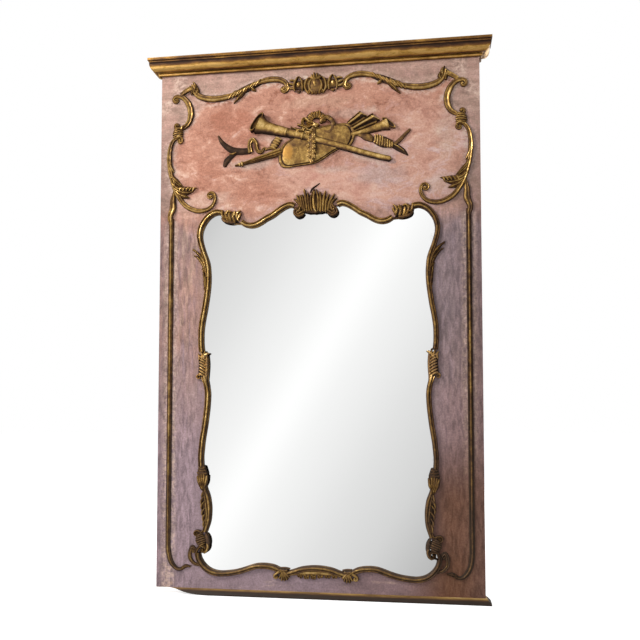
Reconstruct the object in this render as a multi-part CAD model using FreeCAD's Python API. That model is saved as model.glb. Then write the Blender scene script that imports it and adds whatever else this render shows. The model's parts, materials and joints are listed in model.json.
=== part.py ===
# Trumeau mirror: a tall painted panel with gilded carving, a moulded cornice
# and a shaped looking-glass, made to stand on a mantel against the wall.
# Millimetres. +Z is up, the front faces -Y, and X runs to the right.
# Everything is laid out with z = 0 at the panel's lower edge and y = 0 in the
# painted face. The finished shapes are lifted so that the origin lies in the
# underside of the base, below the middle of the painted face.
import FreeCAD, Part
import math
import os

V = FreeCAD.Vector
os.makedirs("parts", exist_ok=True)

# ---------------------------------------------------------------- driving sizes
panel_width = 1000.0          # painted face, side to side
panel_height = 1613.0         # painted face, lower edge to the cornice
face_thickness = 18.0         # face boards
stile_width = 178.0           # upright face boards, before the opening is sawn
board_split_z = 1105.0        # the upper face board starts below this curve
lower_board_height = 88.0     # lower face board, before the opening is sawn
frame_thickness = 22.0        # softwood frame glued behind the face boards
frame_stile_width = 60.0
frame_rail_height = 60.0
bottom_rail_height = 30.0
middle_rail_z = 1222.0        # lower edge of the middle rail
tenon_length = 26.0
tenon_thickness = 8.0
tenon_shoulder = 10.0         # rail height left bare above and below a tenon

cornice_height = 50.0
cornice_projection = 36.5
cornice_fillet = 8.0          # flat band along the top
cornice_astragal = 5.0        # small half-round under the fillet
cornice_groove = 1.6          # flat grooves above and below the astragal
cornice_step = 4.0            # how far the fillet stands out over the belly
cornice_bead = 9.0            # half-round along the bottom
cornice_bead_seat = 4.0       # the bead starts this far out from the panel
cornice_belly_foot = 10.0     # the belly starts this far out, just above the bead
cornice_belly_rise = 7.5      # height of the belly's fullest point over its foot
top_board_thickness = 6.0

base_height = 18.0
base_projection = 17.0
base_nose_drop = 14.0         # the nose is widest this far below the panel
base_toe = 3.5                # the underside stops this far inside the nose
# The nose fades out towards the left: place, and share of the base's height left.
base_fade = ((-500, 0.017), (-478, 0.017), (-458, 0.022), (-440, 0.11), (-420, 0.37),
             (-400, 0.62), (-370, 0.85), (-335, 0.975), (-310, 1.0))

lip_thickness = 8.0           # face board left in front of the glass
glass_thickness = 4.0
glass_lap = 9.0               # glass hidden behind the opening's widest points
glass_play = 3.0              # rebate is this much larger than the glass
block_length = 40.0
block_width = 18.0
block_count = 5               # packing blocks up each side
plank_count = 4
plank_thickness = 6.0
plank_gap = 1.5
plank_end_play = 1.0
screw_shank_radius = 2.0
screw_head_radius = 4.0
screw_head_height = 2.2
screw_grip = 9.0              # length of shank in the face board
screw_clearance = 0.05
screw_edge = 16.0             # plank end to screw centre
screw_pitch = 150.0           # between the two screws at a plank's end

moulding_width = 15.0
moulding_height = 11.0
moulding_overhang = 3.0       # moulding stands this far over the opening
side_share = 0.35             # share of a carving's height that stands upright
tip_share = 0.45              # height left at a point, as a share of the full height
chip_volume = 5.0             # loose bits smaller than this, in cubic mm, are not kept
strip_width = 14.0            # long upright strips on the stiles
strip_height = 8.0
scroll_height = 9.0
leaf_height = 7.0
clasp_height = 15.0
garland_height = 9.0
crest_height = 13.0
shell_height = 16.0
viol_height = 9.0
bell_height = 22.0
pipe_height = 12.0             # it passes behind the viol
roll_height = 12.0
ribbon_height = 8.0
sash_height = 10.0
knot_height = 11.0
bow_height = 15.0
flower_height = 20.0          # it hangs over the horn and the viol

# Rounded edges: share of a piece's size at each share of its height.
dome_profile = ((1.0, 0.0), (0.94, 0.45), (0.62, 0.88), (0.2, 1.0))
viol_profile = ((1.0, 0.0), (0.985, 0.75), (0.93, 1.0))
viol_middle = (2.0, 1363.0)

strap_width = 14.0            # hanging straps at the back
strap_length = 48.0
strap_thickness = 1.2
strap_x = 395.0
strap_z = 1500.0              # height of the ring's axle
ring_wire_radius = 1.5
ring_half_width = 11.5        # middle of the wire
ring_arm = 12.0
ring_corner = 3.0
ring_clearance = 0.1          # between the axle and the strap's knuckle
ring_lift = 0.5               # between a folded ring and its strap
strap_screw_radius = 1.4
strap_screw_head = 3.4
strap_screw_head_height = 1.6
strap_screw_grip = 12.0
strap_screw_first = 32.0      # below the ring's axle
strap_screw_pitch = 9.0

half_width = panel_width / 2
wall_y = face_thickness + frame_thickness
cornice_top = panel_height + cornice_height
board_top = cornice_top - top_board_thickness
stile_inner = half_width - stile_width


# ------------------------------------------------------------------ small tools
def spot(x, z, y=0.0):
    """A point of the full-size drawing, which is 1000 wide and 1613 high."""
    return V(x * panel_width / 1000.0, y, z * panel_height / 1613.0)


def box(x0, x1, y0, y1, z0, z1):
    return Part.makeBox(x1 - x0, y1 - y0, z1 - z0, V(x0, y0, z0))


def curve_through(points):
    curve = Part.BSplineCurve()
    curve.interpolate(points)
    return curve


def along(points, count):
    """Evenly spaced places on a curve through the points: position and tangent."""
    curve = curve_through(points)
    first, last = curve.FirstParameter, curve.LastParameter
    total = curve.length(first, last)
    places = []
    for step in range(count + 1):
        u = curve.parameterAtDistance(total * step / count, first)
        places.append((curve.value(u), curve.tangent(u)[0]))
    return places


def across(tangent):
    """Unit vector in the face, square to a tangent and to its right."""
    side = V(tangent.z, 0, -tangent.x)
    return side.normalize()


def blended(values, share):
    """A value between the entries of a short list, at a share of its length."""
    place = share * (len(values) - 1)
    low = min(int(place), len(values) - 2)
    return values[low] + (values[low + 1] - values[low]) * (place - low)


def half_round(centre, side, width, height):
    """Closed section: flat back on the face, low straight sides, curved front."""
    left = centre - side * (width / 2)
    right = centre + side * (width / 2)
    rise = V(0, -height * side_share, 0)
    crown = centre + V(0, -height, 0)
    return Part.Wire([
        Part.LineSegment(left, right).toShape(),
        Part.LineSegment(right, right + rise).toShape(),
        Part.Arc(right + rise, crown, left + rise).toShape(),
        Part.LineSegment(left + rise, left).toShape(),
    ])


def strip(drawn, widths, height, steps=12):
    """Carved strip along a drawn line. It gets lower where it narrows."""
    points = [spot(x, z) for x, z in drawn]
    broadest = max(widths)
    sections = []
    for number, (place, tangent) in enumerate(along(points, steps)):
        width = blended(widths, number / steps)
        rise = height * (tip_share + (1 - tip_share) * width / broadest)
        sections.append(half_round(place, across(tangent), width, rise))
    return Part.makeLoft(sections, True, False)


def boss(x, z, radius, height):
    """Low round dome, as at the eye of a scroll."""
    ball = (radius ** 2 + height ** 2) / (2 * height)
    low = math.degrees(math.asin((ball - height) / ball))
    centre = spot(x, z) + V(0, ball - height, 0)
    return Part.makeSphere(ball, centre, V(0, -1, 0), low, 90, 360)


def oval(x, z, half_x, half_z, height):
    """Domed oval boss: ellipses, each smaller and further forward."""
    rings = []
    facing = FreeCAD.Rotation(V(0, 0, 1), V(0, -1, 0))
    for share, rise in dome_profile:
        wide = max(half_x, half_z) * share
        narrow = min(half_x, half_z) * share
        ring = Part.Ellipse(V(0, 0, 0), wide, narrow).toShape()
        ring.Placement = FreeCAD.Placement(V(0, 0, 0), facing)
        if half_z > half_x:
            ring.rotate(V(0, 0, 0), V(0, 1, 0), 90)
        ring.translate(spot(x, z, -height * rise))
        rings.append(Part.Wire([ring]))
    return Part.makeLoft(rings, True, False)


def joined(pieces):
    """One solid from overlapping pieces of carving."""
    whole = pieces[0]
    if len(pieces) > 1:
        whole = pieces[0].multiFuse(pieces[1:])
    return whole


def mirrored(shape):
    return shape.mirror(V(0, 0, 0), V(1, 0, 0))


nodes = {}


def pair(name, shape):
    """Keep a right-hand piece and its left-hand twin."""
    nodes[name + "_right"] = shape
    nodes[name + "_left"] = mirrored(shape)


def trim(name, *others):
    """Saw a piece to fit against the ones that lie over it, and sweep up the chips."""
    sawn = nodes[name].cut([nodes[other] for other in others])
    kept = [solid for solid in sawn.Solids if solid.Volume > chip_volume]
    nodes[name] = kept[0] if len(kept) == 1 else Part.makeCompound(kept)


# ------------------------------------------- the opening, drawn for the right half
# Each run is the inner edge of the gilt moulding, and stops under a clasp.
bottom_arch = [(-88, 59), (-70, 64), (-50, 71), (-25, 75.5), (0, 77),
               (25, 75.5), (50, 71), (70, 64), (88, 59)]
bottom_run = [(100, 62), (115, 70), (130, 76), (150, 79.2), (167, 79.6), (185, 78), (205, 72),
              (228, 64), (250, 58), (275, 54), (300, 52.5), (320, 56), (336, 64), (348, 75),
              (357, 88), (361, 100), (361, 108)]
leafy_run = [(340, 170), (336, 182), (331, 197), (328, 215), (327, 240), (329, 262),
             (333, 282), (340, 300), (343, 310)]
lower_run = [(353, 372), (354.5, 400), (352.5, 425), (350, 450), (346, 475), (342, 500),
             (339.5, 520), (336, 550), (334, 580), (334, 600), (337, 620), (342, 640)]
upper_run = [(354, 728), (356.5, 750), (357, 775), (356, 800), (351, 835), (346, 860),
             (340, 900), (337.5, 920), (335.5, 945), (335.5, 970), (338, 1000), (343, 1020),
             (354, 1050), (362.5, 1080), (364, 1100), (359, 1120), (350, 1136), (339, 1149),
             (325, 1158), (312, 1161), (300, 1158)]
top_run = [(238, 1127), (225, 1119), (208, 1115), (190, 1117), (172, 1125), (154, 1136),
           (134, 1146), (114, 1160), (96, 1171), (80, 1176), (70, 1172)]
runs_up_the_side = [bottom_run, leafy_run, lower_run, upper_run, top_run]


def beside(drawn, distance):
    """The drawn edge moved outwards, away from the glass, by a real distance."""
    points = [spot(x, z) for x, z in drawn]
    moved = []
    for place, tangent in along(points, 2 * len(points)):
        moved.append(place + across(tangent) * distance)
    return moved


def opening_edges(side):
    """Sawn edge of the boards for one half, from the bottom to the top."""
    edges = []
    end = None
    for run in runs_up_the_side:
        points = beside(run, moulding_overhang)
        points = [V(side * p.x, 0, p.z) for p in points]
        if end is not None:
            edges.append(Part.LineSegment(end, points[0]).toShape())
        edges.append(curve_through(points).toShape())
        end = points[-1]
    return edges, end


def opening_prism(y0, y1):
    """What the saw takes out of the boards."""
    right, right_end = opening_edges(1)
    left, left_end = opening_edges(-1)
    arch = [V(p.x, 0, p.z) for p in beside(bottom_arch, moulding_overhang)]
    right_start = right[0].Vertexes[0].Point
    left_start = left[0].Vertexes[0].Point
    bottom = [Part.LineSegment(left_start, arch[0]).toShape(), curve_through(arch).toShape(),
              Part.LineSegment(arch[-1], right_start).toShape()]
    top = [Part.LineSegment(right_end, left_end).toShape()]
    edges = bottom + right + top + left
    wire = Part.Wire(Part.__sortEdges__(edges))
    prism = Part.Face(wire).extrude(V(0, y1 - y0, 0))
    prism.translate(V(0, y0, 0))
    return prism


def moulding(drawn, steps):
    """Gilt moulding that follows the opening's edge."""
    points = [spot(x, z) for x, z in drawn]
    sections = []
    for place, tangent in along(points, steps):
        side = across(tangent)
        centre = place + side * (moulding_width / 2)
        sections.append(half_round(centre, side, moulding_width, moulding_height))
    return Part.makeLoft(sections, True, False)


# --------------------------------------------------------- face boards and glass
opening = opening_prism(-1.0, face_thickness + 1.0)
reach = opening.BoundBox
glass_half = max(reach.XMax, -reach.XMin) + glass_lap
glass_low = reach.ZMin - glass_lap
glass_high = reach.ZMax + glass_lap
rebate = box(-glass_half - glass_play, glass_half + glass_play,
             lip_thickness, face_thickness + 1.0,
             glass_low - glass_play, glass_high + glass_play)


def face_boards():
    stile = box(stile_inner, half_width, 0, face_thickness, 0, board_top)
    split_z = spot(0, board_split_z).z
    low_z = spot(0, lower_board_height).z
    upper = box(-stile_inner, stile_inner, 0, face_thickness, split_z, board_top)
    lower = box(-stile_inner, stile_inner, 0, face_thickness, 0, low_z)
    for name, board in (("stile_right", stile), ("stile_left", mirrored(stile)),
                        ("upper_panel", upper), ("lower_panel", lower)):
        nodes[name] = board.cut([opening, rebate])


def back_frame():
    y0, y1 = face_thickness, wall_y
    inner = half_width - frame_stile_width
    middle_z = spot(0, middle_rail_z).z
    stile = box(inner, half_width, y0, y1, 0, board_top)
    tenon_y = y0 + (frame_thickness - tenon_thickness) / 2
    rails = (("back_rail_top", board_top - frame_rail_height, board_top),
             ("back_rail_middle", middle_z, middle_z + frame_rail_height),
             ("back_rail_bottom", 0, bottom_rail_height))
    for name, z0, z1 in rails:
        shoulder = min(tenon_shoulder, (z1 - z0) / 3)
        tenon = box(-inner - tenon_length, inner + tenon_length, tenon_y,
                    tenon_y + tenon_thickness, z0 + shoulder, z1 - shoulder)
        nodes[name] = box(-inner, inner, y0, y1, z0, z1).fuse(tenon).removeSplitter()
        stile = stile.cut(tenon)
    pair("back_stile", stile)
    return inner, middle_z


def glass_and_back(inner, middle_z):
    glass_back = lip_thickness + glass_thickness
    nodes["mirror_glass"] = box(-glass_half, glass_half, lip_thickness, glass_back,
                                glass_low, glass_high)
    blocks = []
    usable = glass_high - glass_low - block_length
    for side in (-1, 1):
        for number in range(block_count):
            z0 = glass_low + usable * number / (block_count - 1)
            x_far = side * glass_half
            x_near = side * (glass_half - block_width)
            blocks.append(box(min(x_far, x_near), max(x_far, x_near),
                              glass_back, face_thickness, z0, z0 + block_length))
    nodes["glazing_blocks"] = Part.makeCompound(blocks)

    low = bottom_rail_height + plank_gap
    high = middle_z - plank_gap
    pitch = (high - low) / plank_count
    reach_x = inner - plank_end_play
    planks, screws = [], []
    for number in range(plank_count):
        z0 = low + pitch * number
        plank = box(-reach_x, reach_x, face_thickness, face_thickness + plank_thickness,
                    z0, z0 + pitch - plank_gap)
        for side in (-1, 1):
            for offset in (-screw_pitch / 2, screw_pitch / 2):
                x = side * (reach_x - screw_edge)
                z = z0 + (pitch - plank_gap) / 2 + offset
                plank = plank.cut(screw_hole(x, z, plank_thickness))
                board = "stile_right" if side > 0 else "stile_left"
                nodes[board] = nodes[board].cut(screw_hole(x, z, plank_thickness))
                screws.append(screw(x, z))
        planks.append(plank)
    nodes["backboards"] = Part.makeCompound(planks)
    nodes["backboard_screws"] = Part.makeCompound(screws)


def screw_hole(x, z, above):
    """Pilot hole through a plank and into the face board behind it."""
    depth = above + screw_grip + screw_clearance
    start = V(x, face_thickness + above, z)
    return Part.makeCylinder(screw_shank_radius + screw_clearance, depth, start, V(0, -1, 0))


def screw(x, z):
    seat = face_thickness + plank_thickness
    shank = Part.makeCylinder(screw_shank_radius, plank_thickness + screw_grip,
                              V(x, seat, z), V(0, -1, 0))
    head = Part.makeCone(screw_head_radius, screw_head_radius * 0.6, screw_head_height,
                         V(x, seat, z), V(0, 1, 0))
    return shank.fuse(head)


# -------------------------------------------------------------- cornice and base
def cornice_section(place):
    """The cornice's outline. place(p, h) puts projection p and height h in space."""
    fillet_z = cornice_height - cornice_fillet
    astragal_top = fillet_z - cornice_groove
    astragal_low = astragal_top - cornice_astragal
    belly_top = astragal_low - cornice_groove
    belly_low = cornice_bead + cornice_groove
    belly_out = cornice_projection - cornice_step
    groove = belly_out - cornice_groove
    astragal_out = groove + cornice_astragal / 2
    belly_full = (cornice_belly_foot + (belly_out - cornice_belly_foot) * 0.8,
                  belly_low + cornice_belly_rise)

    def line(a, b):
        return Part.LineSegment(place(*a), place(*b)).toShape()

    def arc(a, m, b):
        return Part.Arc(place(*a), place(*m), place(*b)).toShape()

    bead_foot = (cornice_bead_seat, 0)
    bead_out = (cornice_bead_seat + cornice_bead / 2, cornice_bead / 2)
    bead_top = (cornice_bead_seat, cornice_bead)
    belly_foot = (cornice_belly_foot, belly_low)
    return Part.Wire([
        line((0, 0), bead_foot),
        arc(bead_foot, bead_out, bead_top),
        line(bead_top, (cornice_bead_seat, belly_low)),
        line((cornice_bead_seat, belly_low), belly_foot),
        arc(belly_foot, belly_full, (belly_out, belly_top)),
        line((belly_out, belly_top), (groove, belly_top)),
        line((groove, belly_top), (groove, astragal_low)),
        arc((groove, astragal_low), (astragal_out, (astragal_low + astragal_top) / 2),
            (groove, astragal_top)),
        line((groove, astragal_top), (groove, fillet_z)),
        line((groove, fillet_z), (cornice_projection, fillet_z)),
        line((cornice_projection, fillet_z), (cornice_projection, cornice_height)),
        line((cornice_projection, cornice_height), (0, cornice_height)),
        line((0, cornice_height), (0, 0)),
    ])


def cornice():
    """Front length and two returns to the wall, mitred at the front corners."""
    def right_mitre(p, h):
        return V(half_width + p, -p, panel_height + h)

    def left_mitre(p, h):
        return V(-half_width - p, -p, panel_height + h)

    def right_end(p, h):
        return V(half_width + p, wall_y, panel_height + h)

    nodes["cornice_front"] = Part.makeLoft(
        [cornice_section(left_mitre), cornice_section(right_mitre)], True, True)
    pair("cornice_return", Part.makeLoft(
        [cornice_section(right_mitre), cornice_section(right_end)], True, True))
    nodes["cornice_top_board"] = box(-half_width, half_width, 0, wall_y, board_top, cornice_top)


def base_section(place):
    nose = (base_projection, -base_nose_drop)
    toe = (base_projection - base_toe, -base_height)
    bend = (base_projection - base_toe * 0.2, -(base_nose_drop + base_height * 2) / 3)

    def line(a, b):
        return Part.LineSegment(place(*a), place(*b)).toShape()

    shoulder = Part.Arc(place(0, 0), place(base_projection * 0.62, -base_nose_drop * 0.5),
                        place(*nose)).toShape()
    turn = Part.Arc(place(*nose), place(*bend), place(*toe)).toShape()
    return Part.Wire([shoulder, turn, line(toe, (0, -base_height)),
                      line((0, -base_height), (0, 0))])


def base():
    """Board under the panel with a rounded nose in front and round the right end.

    Towards the left end the nose fades out against the panel's lower edge."""
    def left_end(p, h):
        return V(-half_width, -p, h)

    def right_mitre(p, h):
        return V(half_width + p, -p, h)

    def right_end(p, h):
        return V(half_width + p, wall_y, h)

    front = Part.makeLoft([base_section(left_end), base_section(right_mitre)], True, True)
    side = Part.makeLoft([base_section(right_mitre), base_section(right_end)], True, True)
    middle = box(-half_width, half_width, 0, wall_y, -base_height, 0)
    whole = joined([middle, front, side]).removeSplitter()
    fade = [V(spot(x, 0).x, 0, -base_height * share) for x, share in base_fade]
    worn = curve_through(fade).toShape()
    below = -2 * base_height
    outside = fade[0].x - base_projection
    corners = [fade[-1], V(fade[-1].x, 0, below), V(outside, 0, below),
               V(outside, 0, fade[0].z), fade[0]]
    lines = [Part.LineSegment(a, b).toShape() for a, b in zip(corners, corners[1:])]
    away = Part.Face(Part.Wire([worn] + lines)).extrude(V(0, wall_y + 4 * base_projection, 0))
    away.translate(V(0, -2 * base_projection, 0))
    nodes["base_moulding"] = whole.cut(away)


# ------------------------------------------------------- carving round the opening
def opening_carving():
    nodes["bottom_arch"] = joined([
        moulding(bottom_arch, 16),
        strip([(-74, 48), (-38, 51), (0, 53), (38, 51), (74, 48)], [12, 24, 26, 24, 12], leaf_height),
    ])
    pair("bottom_run", joined([
        moulding(bottom_run, 36),
        boss(383, 118, 8.5, leaf_height),
        strip([(384, 124), (391, 110), (391, 90), (378, 76), (360, 72)], [6, 11, 12, 11, 8], leaf_height),
    ]))
    pair("lower_leaf", joined([
        moulding(leafy_run, 12),
        strip([(352, 298), (350, 262), (347, 225), (344, 188)], [6, 18, 20, 6], scroll_height),
        strip([(353, 374), (354, 345), (355, 322), (349, 300)], [16, 28, 27, 12], clasp_height, 10),
    ]))
    pair("lower_run", moulding(lower_run, 20))
    pair("upper_run", joined([
        moulding(upper_run, 44),
        strip([(346, 968), (353, 1002), (366, 1027), (393, 1053)], [8, 17, 19, 2], scroll_height),
        strip([(345, 905), (348, 940), (352, 965), (359, 993)], [6, 13, 12, 2], leaf_height),
    ]))
    pair("top_run", moulding(top_run, 24))
    pair("bottom_clasp", joined([
        oval(101, 49, 23, 17, clasp_height),
        boss(120, 43, 7.5, scroll_height),
    ]))
    pair("corner_clasp", joined([
        strip([(353, 113), (351, 130), (352, 148), (353, 170)], [20, 33, 31, 20], clasp_height, 10),
        boss(371, 165, 8.5, scroll_height),
        strip([(350, 172), (362, 169), (371, 165)], [10, 10, 8], scroll_height, 6),
    ]))
    pair("side_clasp", joined([
        strip([(356, 640), (358, 668), (359, 695), (359, 724)], [20, 27, 26, 18], clasp_height, 10),
        strip([(358, 714), (350, 717), (341, 720)], [12, 10, 5], scroll_height, 6),
        boss(368, 647, 6, scroll_height),
    ]))
    pair("shoulder_clasp", joined([
        strip([(298, 1156), (282, 1152), (262, 1147), (236, 1142)], [22, 34, 38, 24], clasp_height, 10),
        strip([(268, 1155), (272, 1162), (276, 1171)], [20, 14, 3], leaf_height, 6),
        strip([(250, 1150), (243, 1159), (238, 1168)], [18, 12, 3], leaf_height, 6),
        boss(288, 1141, 8, scroll_height),
    ]))
    shell = [
        strip([(-44, 1160), (-20, 1161), (0, 1162), (20, 1161), (44, 1160)], [14, 20, 22, 20, 14],
              leaf_height),
        strip([(0, 1152), (0, 1190), (0, 1229)], [14, 26, 5], shell_height),
    ]
    for side in (-1, 1):
        shell += [
            strip([(side * 10, 1154), (side * 24, 1192), (side * 36, 1229)], [14, 24, 4],
                  shell_height * 0.85),
            strip([(side * 20, 1156), (side * 42, 1182), (side * 57, 1210)], [14, 24, 4],
                  shell_height * 0.7),
            boss(side * 58, 1159, 12.5, crest_height),
            strip([(side * 34, 1158), (side * 48, 1158), (side * 58, 1159)], [16, 14, 10],
                  scroll_height, 6),
        ]
    nodes["shell_crest"] = joined(shell)
    for side in ("_left", "_right"):
        trim("top_run" + side, "shell_crest", "shoulder_clasp" + side)
        trim("upper_run" + side, "shoulder_clasp" + side, "side_clasp" + side)
        trim("lower_run" + side, "side_clasp" + side, "lower_leaf" + side)
        trim("lower_leaf" + side, "corner_clasp" + side)
        trim("bottom_run" + side, "corner_clasp" + side, "bottom_clasp" + side)
    trim("bottom_arch", "bottom_clasp_left", "bottom_clasp_right")


# ----------------------------------------------------- carving on the painted panel
def panel_carving():
    pair("stile_strip", joined([
        strip([(463, 1150), (463, 140)], [strip_width, strip_width], strip_height, 1),
        strip([(463, 146), (462.6, 122), (460, 101), (454, 81), (444, 66), (432, 57), (419, 57),
               (409, 63)], [strip_width * 0.7] + [strip_width] * 5 + [12, 9], strip_height, 14),
        strip([(461, 1146), (455, 1185), (462, 1226)], [17, 22, 2], scroll_height, 8),
        strip([(458, 1160), (449, 1176), (440, 1192)], [12, 11, 2], leaf_height, 6),
        strip([(416, 60), (402, 68), (390, 66)], [10, 14, 3], leaf_height, 6),
    ]))
    pair("side_scroll", joined([
        strip([(444, 1408), (456, 1405), (466, 1391), (471, 1372), (473, 1345), (470, 1312),
               (464, 1282), (455, 1255), (444, 1228), (427, 1202), (408, 1185), (385, 1174),
               (362, 1172), (341, 1179), (326, 1192), (320, 1208), (325, 1222)],
              [7, 9, 11, 12, 13, 13, 13, 12, 11, 9], scroll_height, 36),
        boss(438, 1402, 9, scroll_height),
        boss(335, 1219, 11, scroll_height),
        strip([(470, 1312), (464, 1304), (455, 1297)], [10, 7, 2], leaf_height, 6),
        strip([(464, 1290), (448, 1272), (425, 1251)], [16, 16, 2], leaf_height, 8),
        strip([(452, 1262), (430, 1236), (404, 1236), (377, 1243)], [14, 30, 24, 2],
              scroll_height, 12),
        strip([(444, 1238), (424, 1224), (405, 1215)], [12, 14, 2], leaf_height, 8),
    ]))
    pair("ear_scroll", joined([
        strip([(440, 1540), (425, 1536), (411, 1522), (401, 1502), (398, 1485), (401, 1467),
               (409, 1452), (421, 1441), (434, 1438)], [9, 12, 15, 15, 12, 9], scroll_height, 18),
        boss(447, 1530, 9, scroll_height),
        boss(441, 1447, 9, scroll_height),
        strip([(424, 1424), (440, 1425), (455, 1426)], [14, 19, 14], crest_height, 6),
        strip([(438, 1444), (437, 1434), (438, 1426)], [10, 12, 12], scroll_height, 6),
    ]))
    pair("garland", joined([
        strip([(398, 1576), (389, 1556), (374, 1541), (350, 1530), (320, 1527), (290, 1531),
               (262, 1538), (235, 1550), (205, 1565), (170, 1578), (135, 1582), (105, 1577),
               (91, 1566), (90, 1553)], [12, 15, 15, 15, 15, 14, 12, 11, 10, 8],
              garland_height, 30),
        boss(100, 1547, 11.5, garland_height),
        strip([(214, 1561), (233, 1538), (257, 1509)], [20, 15, 2], leaf_height, 8),
        strip([(206, 1563), (198, 1555), (190, 1547)], [12, 9, 2], leaf_height, 6),
        strip([(400, 1556), (399, 1570), (394, 1588)], [15, 14, 3], garland_height, 6),
        strip([(399, 1566), (415, 1560), (432, 1550)], [12, 10, 8], garland_height, 6),
    ]))
    crest = [
        strip([(-86, 1553), (-45, 1558), (0, 1560), (45, 1558), (86, 1553)],
              [12, 34, 40, 34, 12], leaf_height),
        oval(0, 1559, 26, 34, crest_height),
    ]
    for side in (-1, 1):
        crest.append(oval(side * 53, 1557, 13, 24, crest_height * 0.85))
    nodes["top_cartouche"] = joined(crest)
    for side in ("_left", "_right"):
        trim("garland" + side, "top_cartouche", "ear_scroll" + side)
        trim("side_scroll" + side, "ear_scroll" + side)


# ------------------------------------------------------------ trophy of music
def trophy():
    nodes["ribbon_bow"] = joined([
        strip([(-4, 1430), (-19, 1441), (-19, 1458), (2, 1464), (24, 1458), (26, 1442),
               (12, 1430)], [8, 15, 18, 20, 18, 15, 8], bow_height, 12),
        strip([(-14, 1426), (-33, 1424), (-39, 1438), (-30, 1449)], [8, 12, 12, 7], bow_height, 10),
        strip([(10, 1426), (18, 1440), (37, 1451), (54, 1438), (50, 1409), (36, 1401),
               (22, 1409)], [8, 12, 13, 12, 12, 12, 6], bow_height, 12),
        boss(-1, 1427, 13, bow_height),
    ])
    nodes["flower_drop"] = joined([
        strip([(-6, 1418), (-9, 1385), (-8, 1350), (-11, 1310)], [22, 28, 28, 20], flower_height),
        strip([(-74, 1424), (-46, 1417), (-14, 1402)], [8, 20, 18], flower_height * 0.8, 8),
    ])
    nodes["horn"] = joined([
        strip([(-184, 1442), (-158, 1428), (-128, 1419), (-95, 1410), (-50, 1397), (10, 1378),
               (60, 1363), (100, 1350), (150, 1333), (200, 1318), (232, 1309)],
              [72, 42, 30, 26, 23, 21, 20, 18, 17, 16, 14], bell_height, 10),
    ])
    nodes["pipe"] = joined([
        strip([(-258, 1311.7), (-238, 1316.3), (-150, 1336.3), (-60, 1356.7), (60, 1384),
               (150, 1404.4), (190, 1413), (218, 1421)],
              [5, 14, 18, 21, 22, 22, 20, 19, 18, 18, 19, 24, 34, 50], pipe_height, 13),
    ])
    nodes["music_rolls"] = joined([
        strip([(104, 1421), (125, 1437), (147, 1453)], [16, 26, 30], roll_height, 6),
        strip([(118, 1412), (152, 1427), (185, 1441)], [14, 27, 36], roll_height, 6),
    ])
    outline = [(-118, 1338), (-117, 1317), (-107, 1301), (-88, 1297.5), (-60, 1301), (-30, 1304),
               (0, 1308), (25, 1321), (50, 1337), (78, 1351), (105, 1357), (119, 1375),
               (123, 1397), (117, 1417), (102, 1428), (75, 1430), (40, 1428), (5, 1420),
               (-40, 1406), (-80, 1388), (-108, 1366)]
    rings = []
    middle_x, middle_z = viol_middle
    for share, rise in viol_profile:
        ring = Part.BSplineCurve()
        corners = [spot(middle_x + (x - middle_x) * share, middle_z + (z - middle_z) * share,
                        -viol_height * rise) for x, z in outline]
        ring.interpolate(corners, PeriodicFlag=True)
        rings.append(Part.Wire([ring.toShape()]))
    nodes["viol_body"] = Part.makeLoft(rings, True, False)
    nodes["ribbon_left"] = joined([
        strip([(-313, 1411), (-301, 1390), (-285, 1372), (-262, 1360), (-235, 1357),
               (-206, 1357)], [3, 10, 14, 18, 18, 14], ribbon_height, 14),
        strip([(-258, 1352), (-277, 1335), (-292, 1309)], [14, 18, 14], ribbon_height, 8),
        strip([(-206, 1356), (-206, 1378), (-198, 1391), (-190, 1381), (-185, 1364),
               (-176, 1352), (-164, 1356), (-152, 1360)], [10, 9, 9, 9, 9, 8, 6], ribbon_height, 16),
        oval(-127, 1379, 19, 17, knot_height),
        strip([(-158, 1360), (-146, 1366), (-130, 1374)], [6, 9, 9], ribbon_height, 6),
    ])
    nodes["ribbon_right"] = joined([
        strip([(142, 1386), (165, 1379), (192, 1372), (217, 1360), (240, 1352), (262, 1340),
               (284, 1322)], [12, 26, 38, 32, 22, 17, 3], sash_height, 14),
        strip([(244, 1354), (266, 1374), (292, 1402)], [14, 10, 7], ribbon_height, 8),
    ])
    trim("flower_drop", "ribbon_bow")
    trim("horn", "flower_drop")
    trim("viol_body", "ribbon_bow", "flower_drop", "horn")
    trim("pipe", "viol_body", "flower_drop", "horn")
    trim("music_rolls", "viol_body", "pipe")
    trim("ribbon_left", "pipe")
    trim("ribbon_right", "pipe")


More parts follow.
